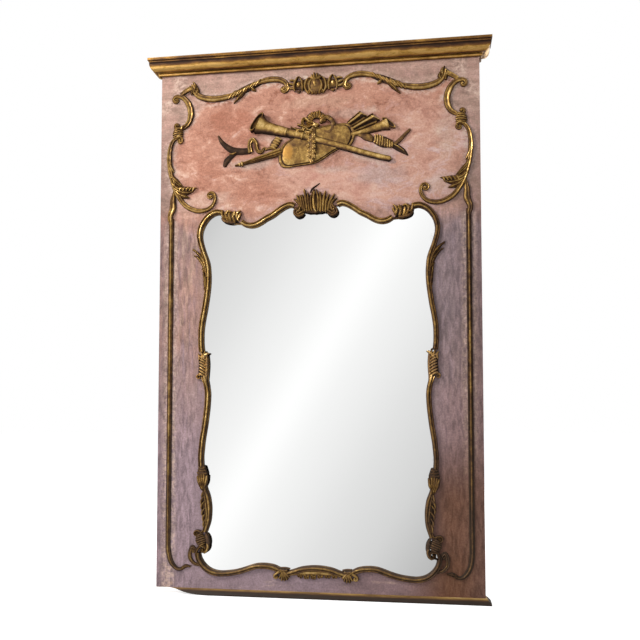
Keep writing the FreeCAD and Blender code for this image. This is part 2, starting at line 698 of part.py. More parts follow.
# ------------------------------------------------------------- hanging hardware
def hanger(side):
    """Strap with a knuckle at its top, and a ring that swings in the knuckle."""
    x = side * spot(strap_x, 0).x
    z = spot(0, strap_z).z
    axle_y = face_thickness + strap_thickness + ring_wire_radius + ring_lift
    bore = ring_wire_radius + ring_clearance
    knuckle = bore + strap_thickness
    left = x - strap_width / 2
    plate = box(left, left + strap_width, face_thickness, face_thickness + strap_thickness,
                z - strap_length, z)
    web = box(left, left + strap_width, face_thickness, axle_y, z - strap_thickness, z)
    barrel = Part.makeCylinder(knuckle, strap_width, V(left, axle_y, z), V(1, 0, 0))
    hole = Part.makeCylinder(bore, strap_width + 2, V(left - 1, axle_y, z), V(1, 0, 0))
    strap = plate.multiFuse([web, barrel]).cut(hole)
    screws = []
    board = "stile_right" if side > 0 else "stile_left"
    for number in range(2):
        screw_z = z - strap_screw_first - strap_screw_pitch * number
        seat = face_thickness + strap_thickness
        length = strap_thickness + strap_screw_grip
        tunnel = Part.makeCylinder(strap_screw_radius + screw_clearance,
                                   length + screw_clearance, V(x, seat, screw_z), V(0, -1, 0))
        strap = strap.cut(tunnel)
        nodes[board] = nodes[board].cut(tunnel)
        shank = Part.makeCylinder(strap_screw_radius, length, V(x, seat, screw_z), V(0, -1, 0))
        head = Part.makeCone(strap_screw_head, strap_screw_head * 0.5, strap_screw_head_height,
                             V(x, seat, screw_z), V(0, 1, 0))
        screws.append(shank.fuse(head))
    w, c = ring_half_width, ring_corner
    low = z - ring_arm
    slant = c * (1 - math.sqrt(0.5))

    def at(dx, height):
        return V(x + dx, axle_y, height)

    path = Part.Wire([
        Part.LineSegment(at(0, z), at(w - c, z)).toShape(),
        Part.Arc(at(w - c, z), at(w - slant, z - slant), at(w, z - c)).toShape(),
        Part.LineSegment(at(w, z - c), at(w, low)).toShape(),
        Part.Arc(at(w, low), at(0, low - w), at(-w, low)).toShape(),
        Part.LineSegment(at(-w, low), at(-w, z - c)).toShape(),
        Part.Arc(at(-w, z - c), at(-w + slant, z - slant), at(-w + c, z)).toShape(),
        Part.LineSegment(at(-w + c, z), at(0, z)).toShape(),
    ])
    wire = Part.Wire([Part.Circle(at(0, z), V(1, 0, 0), ring_wire_radius).toShape()])
    ring = path.makePipeShell([wire], True, False)
    return strap, ring, screws


def hanging_hardware():
    screws = []
    for side, name in ((1, "right"), (-1, "left")):
        strap, ring, pins = hanger(side)
        nodes["hanger_strap_" + name] = strap
        nodes["hanger_ring_" + name] = ring
        screws += pins
    nodes["hanger_screws"] = Part.makeCompound(screws)


# ---------------------------------------------------------------------- assembly
face_boards()
frame_inner, frame_middle_z = back_frame()
glass_and_back(frame_inner, frame_middle_z)
cornice()
base()
opening_carving()
panel_carving()
trophy()
hanging_hardware()

for node_name, shape in nodes.items():
    shape.translate(V(0, 0, base_height))
    shape.exportStep("parts/" + node_name + ".step")
    solids = shape.Solids
    print(node_name, len(solids), "solid(s)", round(shape.Volume / 1000.0, 1), "cm3",
          "valid" if shape.isValid() else "NOT VALID")
print(len(nodes), "nodes")
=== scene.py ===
# %% [markdown]
# # A trumeau mirror
# A trumeau is a tall painted board with a looking-glass, made to stand on a
# chimneypiece. This lesson dresses its plain solid model. The boards, the glass, the
# cornice and the base keep their shapes and get their finish here. The gilt carving
# is made again in finer detail, because a carver's work lives in its grooves.
#
# Every object is in metres, in the frame of the solid model. Drawings are easier to
# read in millimetres, so the lists below give x and z on the painted face in
# millimetres, with z counted from the panel's lower edge.

# %% Load the solid model
import bpy
import bmesh
import json
import math
from mathutils import Matrix, Vector, noise


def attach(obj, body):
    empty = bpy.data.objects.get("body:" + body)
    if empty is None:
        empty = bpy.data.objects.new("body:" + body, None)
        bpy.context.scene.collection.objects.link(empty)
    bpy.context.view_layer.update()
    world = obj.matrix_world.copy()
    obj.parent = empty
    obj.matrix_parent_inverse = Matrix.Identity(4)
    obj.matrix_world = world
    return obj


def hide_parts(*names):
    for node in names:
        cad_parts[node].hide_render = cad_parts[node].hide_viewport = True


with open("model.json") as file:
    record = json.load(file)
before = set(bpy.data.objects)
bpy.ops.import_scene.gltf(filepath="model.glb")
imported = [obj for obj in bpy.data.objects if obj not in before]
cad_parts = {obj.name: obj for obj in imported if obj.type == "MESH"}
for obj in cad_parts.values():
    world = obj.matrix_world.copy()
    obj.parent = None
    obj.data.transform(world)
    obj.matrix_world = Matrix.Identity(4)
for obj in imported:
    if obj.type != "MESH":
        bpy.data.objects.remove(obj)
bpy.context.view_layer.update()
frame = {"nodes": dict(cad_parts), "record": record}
print(len(frame["nodes"]), "nodes in the solid model")

# %% Places on the painted face
MM = 0.001
BASE = 18.0                 # the panel stands this far above the ground


def at(x, z, out=0.0):
    """A place on the painted face, or that many millimetres in front of it."""
    return Vector((x * MM, -out * MM, (z + BASE) * MM))


print("middle of the panel's lower edge:", tuple(at(0, 0)))

# %% [markdown]
# ## Smooth lines
# A carver first draws the ornament as smooth lines. Each line here is a short list of
# places, and a Catmull-Rom curve runs through all of them. It is walked in small
# steps, and then points are picked at even distances, so that every carved strip gets
# rows of the same length.

# %% Points at even distances along a drawn line
FINE_STEPS = 10             # small steps between two drawn places


def smooth_line(drawn, count):
    """count + 1 places at even distances, each with its direction."""
    knots = [Vector(p) for p in drawn]
    knots = [2 * knots[0] - knots[1]] + knots + [2 * knots[-1] - knots[-2]]
    fine = []
    for a, b, c, d in zip(knots, knots[1:], knots[2:], knots[3:]):
        for step in range(FINE_STEPS):
            t = step / FINE_STEPS
            fine.append((2 * b + (c - a) * t + (2 * a - 5 * b + 4 * c - d) * t ** 2
                         + (3 * b - a - 3 * c + d) * t ** 3) / 2)
    fine.append(knots[-2])
    walked = [0.0]
    for p, q in zip(fine, fine[1:]):
        walked.append(walked[-1] + (q - p).length)
    places = []
    k = 0
    for number in range(count + 1):
        target = walked[-1] * number / count
        while k < len(fine) - 2 and walked[k + 1] < target:
            k += 1
        part = (target - walked[k]) / max(walked[k + 1] - walked[k], 1e-9)
        places.append(fine[k].lerp(fine[k + 1], part))
    pairs = []
    for number, place in enumerate(places):
        before, after = places[max(number - 1, 0)], places[min(number + 1, count)]
        pairs.append((place, (after - before).normalized()))
    return pairs


def line_length(drawn):
    return sum((Vector(q) - Vector(p)).length for p, q in zip(drawn, drawn[1:]))


def between(values, share):
    """A value between the entries of a short list, at a share of its length."""
    if isinstance(values, (int, float)):
        return values
    spot = share * (len(values) - 1)
    low = min(int(spot), len(values) - 2)
    return values[low] + (values[low + 1] - values[low]) * (spot - low)


print("a line of three places gives", len(smooth_line([(0, 0), (5, 9), (9, 0)], 8)), "rows")

# %% [markdown]
# ## One tool for all the carving: a bent strip
# Mouldings, leaves, scrolls and ribbons are all strips with a carved cross-section.
# A chain of cubes would show its joints, and a bevelled curve has one section all
# along. A flat grid is better: its columns take the places of a section, its rows
# follow the drawn line, and the width and height may change on the way. The last
# column meets the first behind the strip, so merging doubles closes the back.
#
# Each point also remembers how far it stands out of the carving's ground, in an
# attribute called relief. The gilding reads it later, to keep dirt and painted shade in
# the grooves, and bright metal with a painted highlight on the ridges.

# %% Cross-sections: place across from -1 to 1, and height from 0 to 1
# A section's height is also its relief, so its low parts are painted dark as shade and its high parts
# bright as a highlight.
ROUND = [(-1, 0), (-1, .3), (-.92, .62), (-.7, .87), (-.38, .98), (0, 1), (.38, .98), (.7, .87),
         (.92, .62), (1, .3), (1, 0)]
TUBE = [(-1, 0), (-1, .16), (-.93, .46), (-.78, .7), (-.5, .88), (-.15, .92), (.25, .86), (.55, .72),
        (.8, .5), (.95, .24), (1, 0)]
RAIL = [(-1, 0), (-1, .3), (-.94, .5), (-.76, .8), (-.5, .96), (-.24, .94), (-.04, .8),
        (.1, .56), (.2, .5), (.36, .66), (.58, .82), (.8, .7), (.95, .36), (1, 0)]
BEADED = [(-1, 0), (-1, .28), (-.84, .5), (-.6, .56), (-.46, .5), (-.3, .78), (0, .98),
          (.24, .8), (.4, .5), (.6, .62), (.84, .5), (1, .28), (1, 0)]
FLUTE = [(-1, 0), (-1, .26), (-.92, .5), (-.72, .78), (-.46, .98), (-.16, .86), (.1, .62), (.34, .74),
         (.6, .8), (.82, .52), (1, .22), (1, 0)]
LOBE = [(-1, 0), (-.96, .5), (-.62, .97), (-.34, .86), (0, .48), (.34, .86), (.62, .97),
        (.96, .5), (1, 0)]
VEIN = [(-1, 0), (-.92, .4), (-.55, .72), (-.26, .56), (-.1, .9), (.1, .9), (.26, .56),
        (.55, .72), (.92, .4), (1, 0)]
BAND = [(-1, 0), (-1, .8), (-.86, 1), (-.6, .84), (0, .8), (.6, .84), (.86, 1), (1, .8), (1, 0)]
BLADE = [(-1, 0), (-.97, .4), (-.72, .84), (-.35, 1), (.08, .96), (.46, .78), (.8, .5), (1, .2),
         (1, 0)]
SOFT = [(-1, 0), (-.97, .34), (-.72, .66), (-.35, .84), (.08, .82), (.46, .66), (.8, .44), (1, .2),
        (1, 0)]
DULL = [(-1, 0), (-1, .3), (-.82, .56), (-.4, .66), (0, .7), (.4, .66), (.82, .56), (1, .3), (1, 0)]
SHADE = [(-1, 0), (-1, .16), (-.6, .34), (0, .42), (.6, .34), (1, .16), (1, 0)]
print(len(RAIL) - 1, "faces across the moulding")

# %% The strip
ROW = 3.0                   # millimetres between two rows of a strip
TIP_SHARE = 0.45            # height that is left where a strip runs out to a point
SUNK = 0.4                  # backs lie this far inside the board
END_RISE = 0.4              # height that is left at the tip of a rounded end
HAND = 0.35                 # the carver's hand: how far a surface wanders
HAND_PACE = 0.09            # how fast it wanders, over the millimetres of the face


def bent_grid(bm, columns, rows, place):
    """A grid whose crossings are moved by place(column, row)."""
    made = bmesh.ops.create_grid(bm, x_segments=columns, y_segments=rows, size=1.0)
    relief = bm.verts.layers.float["relief"]
    for vert in made["verts"]:
        column = round((vert.co.x + 1) / 2 * columns)
        row = round((vert.co.y + 1) / 2 * rows)
        vert.co, vert[relief] = place(column, row)
    bmesh.ops.remove_doubles(bm, verts=made["verts"], dist=1e-6)


def strip(bm, drawn, widths, height, section=ROUND, lift=0.0, start=0.0, end=0.0, rows=None):
    """A carved strip along a drawn line. start and end round off that many millimetres."""
    length = line_length(drawn)
    rows = rows or max(6, round(length / ROW))
    line = smooth_line(drawn, rows)
    broadest = widths if isinstance(widths, (int, float)) else max(widths)
    loop = section + [section[0]]

    def place(column, row):
        across, up = loop[column % len(loop)]
        spot, ahead = line[row]
        side = Vector((ahead.y, -ahead.x))
        share = row / rows
        width = between(widths, share)
        rise = between(height, share) * (TIP_SHARE + (1 - TIP_SHARE) * width / broadest)
        for distance, rounded in ((share * length, start), ((1 - share) * length, end)):
            if distance < rounded:
                shrink = math.sqrt(max(1 - (1 - distance / rounded) ** 2, 0.0))
                width *= shrink
                rise *= END_RISE + (1 - END_RISE) * shrink
        spot = spot + side * (across * width / 2)
        wander = noise.noise((spot.x * HAND_PACE, spot.y * HAND_PACE, 7.0)) * HAND
        top = -SUNK if up == 0 else lift + rise * up + wander * up
        return at(spot.x, spot.y, top), up

    bent_grid(bm, len(section), rows, place)


# %% Volutes and buttons
CORE = 0.2                  # where a volute ends, as a share of its radius
STEPS_IN_A_TURN = 8
RIM_RELIEF = 0.4            # a button's rim counts as this high, so that it isn't black


def spiral(x, z, radius, start, turns):
    """Places that wind into a volute: from the rim at the angle start, to the core."""
    count = max(4, round(abs(turns) * STEPS_IN_A_TURN))
    places = []
    for step in range(count + 1):
        share = step / count
        angle = math.radians(start) + 2 * math.pi * turns * share
        reach = radius * (1 - (1 - CORE) * share)
        places.append((x + reach * math.cos(angle), z + reach * math.sin(angle)))
    return places


def knob(bm, x, z, half_x, half_z, height, lift=0.0, turn=0.0):
    """A domed button: a ball squeezed into an oval, half sunk in the wood."""
    made = bmesh.ops.create_uvsphere(bm, u_segments=14, v_segments=9, radius=1.0)
    relief = bm.verts.layers.float["relief"]
    for vert in made["verts"]:
        # Lower on the dome the relief is less, so the gilding paints it darker, as shade at the foot of
        # the button.
        vert[relief] = RIM_RELIEF + (1 - RIM_RELIEF) * math.sqrt(max(0.0, vert.co.z))
    size = Matrix.Diagonal((half_x * MM, half_z * MM, height * MM, 1.0))
    stand = Matrix.Rotation(math.radians(90), 4, "X")
    lean = Matrix.Rotation(math.radians(-turn), 4, "Y")
    place = Matrix.Translation(at(x, z, lift))
    bmesh.ops.transform(bm, matrix=place @ lean @ stand @ size, verts=made["verts"])


def volute(bm, lead, eye, wind, widths, height, button, section=FLUTE, start=2.0):
    """A strip that leads into a spiral, with a button on its eye.

    wind holds the spiral's radius, first angle and turns; button its half width and height.
    """
    strip(bm, lead + spiral(*eye, *wind), widths, height, section, start=start, end=2)
    half, top = button
    knob(bm, *eye, half, half, top)


# %% Finish a piece: close it, smooth it, and hand it to a body
SHARP = math.radians(42)            # a bend past this stays a crisp edge


def new_carving():
    bm = bmesh.new()
    bm.verts.layers.float.new("relief")
    return bm


def finish_piece(bm, name, slot, replaced, body="mirror_frame"):
    """Make the mesh an object that stands for its node of the solid model."""
    rims = [edge for edge in bm.edges if edge.is_boundary]
    bmesh.ops.holes_fill(bm, edges=rims, sides=0)
    bmesh.ops.recalc_face_normals(bm, faces=bm.faces)
    for face in bm.faces:
        face.smooth = True
    for edge in bm.edges:
        edge.smooth = edge.calc_face_angle(0.0) < SHARP
    mesh = bpy.data.meshes.new(name)
    bm.to_mesh(mesh)
    bm.free()
    piece = bpy.data.objects.new(name, mesh)
    bpy.context.scene.collection.objects.link(piece)
    mesh.materials.append(finishes[slot])
    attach(piece, body)
    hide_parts(*replaced)
    return piece


def both_sides(build, node):
    """The right-hand piece, and its twin mirrored to the left."""
    for side, word in ((1, "right"), (-1, "left")):
        bm = new_carving()
        build(bm)
        if side < 0:
            bmesh.ops.scale(bm, vec=(-1, 1, 1), verts=bm.verts)
        piece = finish_piece(bm, "carved_" + node + "_" + word, "gilt_carving",
                             [node + "_" + word])
    print(node, len(piece.data.polygons), "faces on each side")


def one_piece(build, node):
    """A piece that has no twin."""
    bm = new_carving()
    build(bm)
    piece = finish_piece(bm, "carved_" + node, "gilt_carving", [node])
    print(node, len(piece.data.polygons), "faces")


# %% [markdown]
# ## Finishes
# Every finish is a small tree of nodes. A few short helpers keep the trees readable:
# they add a node and feed its inputs, do sums, add a colour ramp, or mix two colours.
# Patterns read Object coordinates. All pieces sit at the origin, so one pattern runs
# on from board to board without a break.

# %% Helpers that add a node
def feed(tree, socket, value):
    """Link an output to a socket, or give the socket a value of its own."""
    if isinstance(value, bpy.types.NodeSocket):
        tree.links.new(value, socket)
    else:
        socket.default_value = value


def add(tree, kind, inputs=(), **settings):
    """A shader node with its settings, and its inputs fed by name or number."""
    made = tree.nodes.new("ShaderNode" + kind)
    for name, value in settings.items():
        setattr(made, name, value)
    for name, value in dict(inputs).items():
        feed(tree, made.inputs[name], value)
    return made


def sums(tree, kind, a, b=0.0, clamp=False):
    return add(tree, "Math", {0: a, 1: b}, operation=kind, use_clamp=clamp).outputs[0]


def chain(tree, kind, values):
    """Join several values with one kind of sum, from left to right."""
    result = values[0]
    for value in values[1:]:
        result = sums(tree, kind, result, value)
    return result


def plus(tree, *values):
    return chain(tree, "ADD", values)


def times(tree, *values):
    return chain(tree, "MULTIPLY", values)


def less(tree, a, b):
    return sums(tree, "SUBTRACT", a, b)


def unsigned(tree, value):
    return sums(tree, "ABSOLUTE", value)


# %% Helpers for colours, noises and masks
def ramp(tree, factor, stops):
    """A colour ramp. A stop is a place from 0 to 1 and a grey or a colour."""
    made = add(tree, "ValToRGB", {"Fac": factor})
    marks = made.color_ramp.elements
    while len(marks) < len(stops):
        marks.new(0.5)
    for mark, (spot, colour) in zip(marks, stops):
        grey = isinstance(colour, (int, float))
        mark.color = (colour, colour, colour, 1) if grey else (*colour, 1)
    for mark, (spot, colour) in zip(marks, stops):
        mark.position = spot
    return made.outputs["Color"]


def blend(tree, factor, a, b, kind="MIX"):
    """Mix two colours, or lay one over the other."""
    made = add(tree, "Mix", data_type="RGBA", blend_type=kind)
    feed(tree, made.inputs[0], factor)
    for socket, colour in ((made.inputs[6], a), (made.inputs[7], b)):
        feed(tree, socket, (*colour, 1) if isinstance(colour, tuple) else colour)
    return made.outputs[2]


def laid_over(tree, colour, coat, mask, amount):
    """The colour under a second coat, which covers up to that amount where the mask is 1."""
    return blend(tree, times(tree, mask, amount), colour, coat)


def mottle(tree, vector, scale, detail=4.0, rough=0.55, twist=0.0):
    return add(tree, "TexNoise", {"Vector": vector, "Scale": scale, "Detail": detail,
                                  "Roughness": rough, "Distortion": twist}).outputs["Fac"]


def stretched(tree, vector, scale):
    """The same place, with each axis counted at its own pace."""
    return add(tree, "Mapping", {"Vector": vector, "Scale": scale}).outputs["Vector"]


def ground(tree, value, low, high):
    """A mask that climbs smoothly from 0 at low to 1 at high."""
    return add(tree, "MapRange", {"Value": value, "From Min": low, "From Max": high},
               interpolation_type="SMOOTHSTEP").outputs["Result"]


def share_between(tree, value, low, high):
    """Where a value lies between two others: 0 at low, 1 at high."""
    return add(tree, "MapRange", {"Value": value, "From Min": low,
                                  "From Max": high}).outputs["Result"]


def axes_of(tree, vector):
    return add(tree, "SeparateXYZ", {"Vector": vector}).outputs


# %% Helpers for groups and materials
def new_group(name, ins, outs):
    """A shader node group with its sockets, and its two end nodes."""
    group = bpy.data.node_groups.new(name, "ShaderNodeTree")
    for way, sockets in (("INPUT", ins), ("OUTPUT", outs)):
        for socket, kind in sockets:
            group.interface.new_socket(socket, in_out=way, socket_type="NodeSocket" + kind)
    entry = group.nodes.new("NodeGroupInput").outputs
    leave = group.nodes.new("NodeGroupOutput").inputs
    return group, entry, leave


def use_group(tree, group, inputs):
    return add(tree, "Group", inputs, node_tree=group).outputs


finishes = {}


def new_finish(slot):
    """A material named for its slot, with its shader and Object coordinates."""
    made = bpy.data.materials.new(slot)
    made.use_nodes = True
    finishes[slot] = made
    tree = made.node_tree
    return tree, tree.nodes["Principled BSDF"], add(tree, "TexCoord").outputs["Object"]


def plug(tree, shader, links):
    for name, value in links.items():
        feed(tree, shader.inputs[name], value)


def bumped(tree, height, distance, strength):
    return add(tree, "Bump", {"Height": height, "Distance": distance,
                              "Strength": strength}).outputs["Normal"]


# %% [markdown]
# ### Aged gilding, with painted shade and highlights
# Old water gilding is gold leaf over a red-brown clay. Hands and dusters rub the
# ridges bright, dirt and old bronze paint stay in the grooves, and thin brown shows
# between. One group makes that from a height: 0 deep in a groove, 1 on a ridge. The
# same colours paint the shade of the grooves nearly black and a highlight on the
# ridges. Two materials use it: the carving, whose height is its relief attribute, and
# the cornice, whose height follows its profile in bands of painted highlight and shade.

# %% The group for aged gilding, with painted shade and highlights
# The darkest colours are dirt and painted shade in the grooves, and the brightest is rubbed gold with a
# painted highlight on the ridges.
GROOVE_DIRT_AND_SHADE = (0.016, 0.006, 0.002)
SHADED = (0.034, 0.014, 0.005)
CLAY = (0.120, 0.054, 0.018)
BRONZE = (0.290, 0.160, 0.044)
GOLD = (0.580, 0.355, 0.100)
RUBBED_AND_HIGHLIGHT = (0.850, 0.590, 0.240)

gilding, given, result = new_group(
    "aged_and_shaded_gilding",
    [("Vector", "Vector"), ("Height", "Float"), ("Wear_and_shade", "Float"), ("Coarse", "Float")],
    [("Color", "Color"), ("Roughness", "Float"), ("Metallic", "Float"), ("Bump", "Float")])
patches = mottle(gilding, given["Vector"], given["Coarse"], 5.0, 0.62, 0.4)
specks = mottle(gilding, stretched(gilding, given["Vector"], (5, 5, 5)), given["Coarse"], 3.0, 0.7)
broad = mottle(gilding, stretched(gilding, given["Vector"], (0.3, 0.3, 0.3)), given["Coarse"], 2.0)
level = given["Height"]
for spots, amount in ((patches, 0.7), (broad, 0.65), (specks, 0.35)):
    level = plus(gilding, level, times(gilding, less(gilding, spots, 0.5), amount))
level = sums(gilding, "ADD", level, given["Wear_and_shade"], clamp=True)
for look, stops in (
        ("Color", [(0.0, GROOVE_DIRT_AND_SHADE), (0.34, SHADED), (0.56, CLAY), (0.74, BRONZE), (0.88, GOLD),
                   (1.0, RUBBED_AND_HIGHLIGHT)]),
        ("Roughness", [(0.3, 0.8), (0.7, 0.46), (1.0, 0.3)]),
        ("Metallic", [(0.45, 0.0), (0.75, 0.4), (1.0, 0.7)])):
    gilding.links.new(ramp(gilding, level, stops), result[look])
gilding.links.new(specks, result["Bump"])
print(len(gilding.nodes), "nodes in the gilding group")


def plug_gilding(tree, shader, colour, out):
    plug(tree, shader, {"Base Color": colour, "Roughness": out["Roughness"],
                        "Metallic": out["Metallic"], "Specular IOR Level": 0.3,
                        "Normal": bumped(tree, out["Bump"], 0.0006, 0.6)})


# %% [markdown]
# The carving isn't equally bright. It is darker on the right, which is painted shade
# where the light falls off across the frame. It is duller towards the foot, where it has
# gone grey-brown, and bright on the ridges of the side clasps, where hands steadied the
# mirror. One patch of plain ochre shows on the body of the viol.

# %% The carving
GREY_BROWN = (0.150, 0.112, 0.080)
BARED = (0.80, 0.50, 0.26)
OCHRE, OCHRE_PLACE, OCHRE_LONG = (0.52, 0.25, 0.045), at(-86, 1346, 9), 0.7
CLASP_MIDDLE = at(0, 680).z
CLASP_REACH = (0.048, 0.036)        # above and below the middle of a side clasp
INSIDE_STRIPS = (0.40, 0.38)        # nearer the middle than the strips on the uprights

tree, shader, place = new_finish("gilt_carving")
relief = add(tree, "Attribute", attribute_name="relief").outputs["Fac"]
axes = axes_of(tree, place)
# Darker on the right: painted shade, where the light falls off across the frame.
right = times(tree, ground(tree, axes["X"], 0.22, 0.36), ground(tree, axes["Z"], 1.35, 1.05))
foot = ground(tree, axes["Z"], 0.75, 0.12)
from_clasp = unsigned(tree, less(tree, axes["Z"], CLASP_MIDDLE))
handled = times(tree, ground(tree, from_clasp, *CLASP_REACH),
                ground(tree, unsigned(tree, axes["X"]), *INSIDE_STRIPS),
                ground(tree, relief, 0.35, 0.80))
wear_and_shade = plus(tree, times(tree, right, -0.17), times(tree, foot, -0.12), times(tree, handled, 0.16),
            -0.04)
out = use_group(tree, gilding, {"Vector": place, "Height": relief, "Wear_and_shade": wear_and_shade, "Coarse": 90.0})
away = add(tree, "VectorMath", {0: stretched(tree, place, (1, 1, OCHRE_LONG)),
                                1: (OCHRE_PLACE.x, OCHRE_PLACE.y, OCHRE_PLACE.z * OCHRE_LONG)},
           operation="DISTANCE").outputs["Value"]
away = plus(tree, away, times(tree, mottle(tree, place, 60.0), 0.014))
aged = laid_over(tree, out["Color"], GREY_BROWN, foot, 0.22)
aged = laid_over(tree, aged, BARED, handled, 0.22)
aged = laid_over(tree, aged, OCHRE, ground(tree, away, 0.028, 0.017), 0.7)
plug_gilding(tree, shader, aged, out)
print(len(tree.nodes), "nodes in the carving's finish")

# %% The cornice
CORNICE_LOW, CORNICE_HIGH = at(0, 1613).z, at(0, 1663).z
# Up the profile: bands of painted highlight and painted shade, together with the wear of the gilding.
CORNICE_LIGHT_AND_WEAR = [(0.0, 0.55), (0.05, 0.90), (0.14, 0.92), (0.18, 0.30), (0.21, 0.80), (0.27, 1.0),
                (0.42, 0.90), (0.50, 0.62), (0.60, 0.40), (0.69, 0.10), (0.735, 0.60), (0.79, 0.70),
                (0.82, 0.10), (0.845, 0.62), (0.97, 0.74)]      # up the profile, and how bright
WARM = (1.0, 0.82, 0.55)

tree, shader, place = new_finish("gilt_cornice")
rise = share_between(tree, axes_of(tree, place)["Z"], CORNICE_LOW, CORNICE_HIGH)
out = use_group(tree, gilding, {"Vector": stretched(tree, place, (0.28, 1, 1)), "Wear_and_shade": 0.02,
                                "Height": ramp(tree, rise, CORNICE_LIGHT_AND_WEAR), "Coarse": 100.0})
plug_gilding(tree, shader, blend(tree, 0.7, out["Color"], WARM, "MULTIPLY"), out)
print("the cornice runs from", round(CORNICE_LOW, 3), "to", round(CORNICE_HIGH, 3), "m")

# %% [markdown]
# ### Chalky paint
# The face is painted in thin, dry coats: salmon in the upper field, greyer in the band
# under the cornice and on the bottom rail, mauve on the uprights. Each coat was
# brushed out, so its strokes run along its board. One group gives strokes along any
# axis: it mixes a coarse noise and a fine one that is stretched.

# %% The group for brush strokes
strokes, given, result = new_group("brush_strokes", [("Vector", "Vector"), ("Scale", "Float")],
                                   [("Streaks", "Float"), ("Specks", "Float")])
broad = mottle(strokes, given["Vector"], given["Scale"], 6.0, 0.65, 0.3)
thin = mottle(strokes, stretched(strokes, given["Vector"], (4, 4, 1.5)), given["Scale"], 4.0, 0.7)
strokes.links.new(plus(strokes, times(strokes, broad, 0.6), times(strokes, thin, 0.4)),
                  result["Streaks"])
strokes.links.new(thin, result["Specks"])
print(len(strokes.nodes), "nodes in the group for strokes")

# %% Where the colours of the paint change
# The gilt scrolls enclose a salmon field; outside them the paint is grey and beige.
# Two ramps hold the height of the garlands over the distance from the middle, and the
# distance of the side scrolls over the height.
GARLAND_LINE = [(0, 1575), (90, 1567), (135, 1582), (170, 1578), (205, 1565), (262, 1538),
                (290, 1531), (320, 1527), (350, 1530), (374, 1541), (389, 1556), (400, 1565),
                (430, 1550), (460, 1530), (500, 1500)]
SCROLL_LINE = [(1140, 300), (1165, 345), (1180, 400), (1202, 427), (1228, 444), (1255, 455),
               (1282, 464), (1312, 470), (1345, 473), (1391, 466), (1410, 445), (1440, 425),
               (1467, 403), (1485, 398), (1502, 401), (1530, 420), (1550, 440)]
GARLAND_LOW, GARLAND_SPAN = 1400.0, 200.0       # heights that stand for 0 and 1 in its ramp
SCROLL_SPAN = 500.0                             # the distance that stands for 1


def drawn_ramp(tree, value, places, value_low, value_span):
    """Read a drawn line as a function: value is in metres, places in millimetres."""
    low, high = places[0][0], places[-1][0]
    stops = [((p - low) / (high - low), (q - value_low) / value_span) for p, q in places]
    read = ramp(tree, share_between(tree, value, low * MM, high * MM), stops)
    return plus(tree, times(tree, read, value_span * MM), value_low * MM)


print("the garlands are drawn in", len(GARLAND_LINE), "places, the scrolls in", len(SCROLL_LINE))

# %% The colours of the paint
SALMON = (0.560, 0.276, 0.195)
TERRACOTTA = (0.430, 0.170, 0.108)
BLUSH = (0.720, 0.430, 0.335)
PEACH = (0.72, 0.46, 0.37)
ROSE_GREY = (0.62, 0.47, 0.50)
DUSTY = (0.600, 0.460, 0.390)
ASH_ROSE = (0.50, 0.38, 0.36)
SAND = (0.62, 0.40, 0.29)
CHALK = (0.700, 0.510, 0.420)
STONE = (0.430, 0.300, 0.240)
TAUPE = (0.290, 0.200, 0.170)
FADED_PINK = (0.47, 0.275, 0.235)
MAUVE = (0.345, 0.215, 0.195)
LAVENDER = (0.340, 0.245, 0.275)
PLUM = (0.270, 0.218, 0.250)
UMBER_AND_SHADE = (0.150, 0.062, 0.026)
OUTER_EDGE_DARK = (0.16, 0.10, 0.10)
SAWN, SAWN_DARK = (0.210, 0.128, 0.068), (0.085, 0.046, 0.022)
print("terracotta has", round(TERRACOTTA[0] / SALMON[0], 2), "of the red of salmon")

# %% Noises in the paint
tree, shader, place = new_finish("painted_boards")
axes = axes_of(tree, place)
x, y, z = axes["X"], axes["Y"], axes["Z"]
width = unsigned(tree, x)
panel_z = less(tree, z, BASE * MM)
upright = use_group(tree, strokes, {"Vector": stretched(tree, place, (9, 9, 1)), "Scale": 6.0})
lying = use_group(tree, strokes, {"Vector": stretched(tree, place, (1, 1, 8)), "Scale": 6.0})
swirls = mottle(tree, stretched(tree, place, (1, 1, 1.6)), 16.0, 6.0, 0.66, 0.9)
dabs = mottle(tree, stretched(tree, place, (1, 1, 1.4)), 70.0, 4.0, 0.65, 0.6)
clouds = mottle(tree, place, 5.0, 4.0, 0.6, 0.5)
chalky = mottle(tree, stretched(tree, place, (1, 1, 1.5)), 9.0, 8.0, 0.70, 1.1)
brushed = plus(tree, times(tree, swirls, 0.5), times(tree, dabs, 0.2), times(tree, clouds, 0.3))
print(len(tree.nodes), "nodes read the place on the boards")

# %% [markdown]
# The field has no even colour. Its paint was rubbed thin in some places, where a dark
# red shows, and lies thick and pale in others. Each such patch is an oval whose rim is
# frayed by a noise, so no oval can be seen.

# %% The salmon field and its patches
PATCHES = [                               # x, z, half width, half height, colour, amount
    (-262, 1445, 95, 70, TERRACOTTA, 0.80), (-350, 1292, 62, 66, TERRACOTTA, 0.50),
    (-175, 1226, 75, 40, TERRACOTTA, 0.50), (-410, 1400, 50, 90, TERRACOTTA, 0.25),
    (60, 1262, 170, 40, BLUSH, 0.85), (195, 1262, 85, 42, ASH_ROSE, 0.55),
    (310, 1420, 80, 90, BLUSH, 0.50), (120, 1205, 160, 40, BLUSH, 0.70),
    (10, 1505, 120, 24, SAND, 0.40), (330, 1290, 70, 60, BLUSH, 0.35),
    (-350, 1205, 70, 30, CHALK, 0.40), (-205, 1316, 85, 20, DUSTY, 0.60),
    (-130, 1395, 70, 14, DUSTY, 0.35), (195, 1335, 110, 34, DUSTY, 0.60),
    (70, 1288, 70, 14, DUSTY, 0.40), (120, 1462, 75, 18, DUSTY, 0.40),
    (-400, 1505, 40, 45, DUSTY, 0.45), (385, 1225, 55, 34, DUSTY, 0.45),
    (400, 1380, 34, 70, DUSTY, 0.40)]
FRAYED = 4.0                              # how far a noise moves the rim of a patch

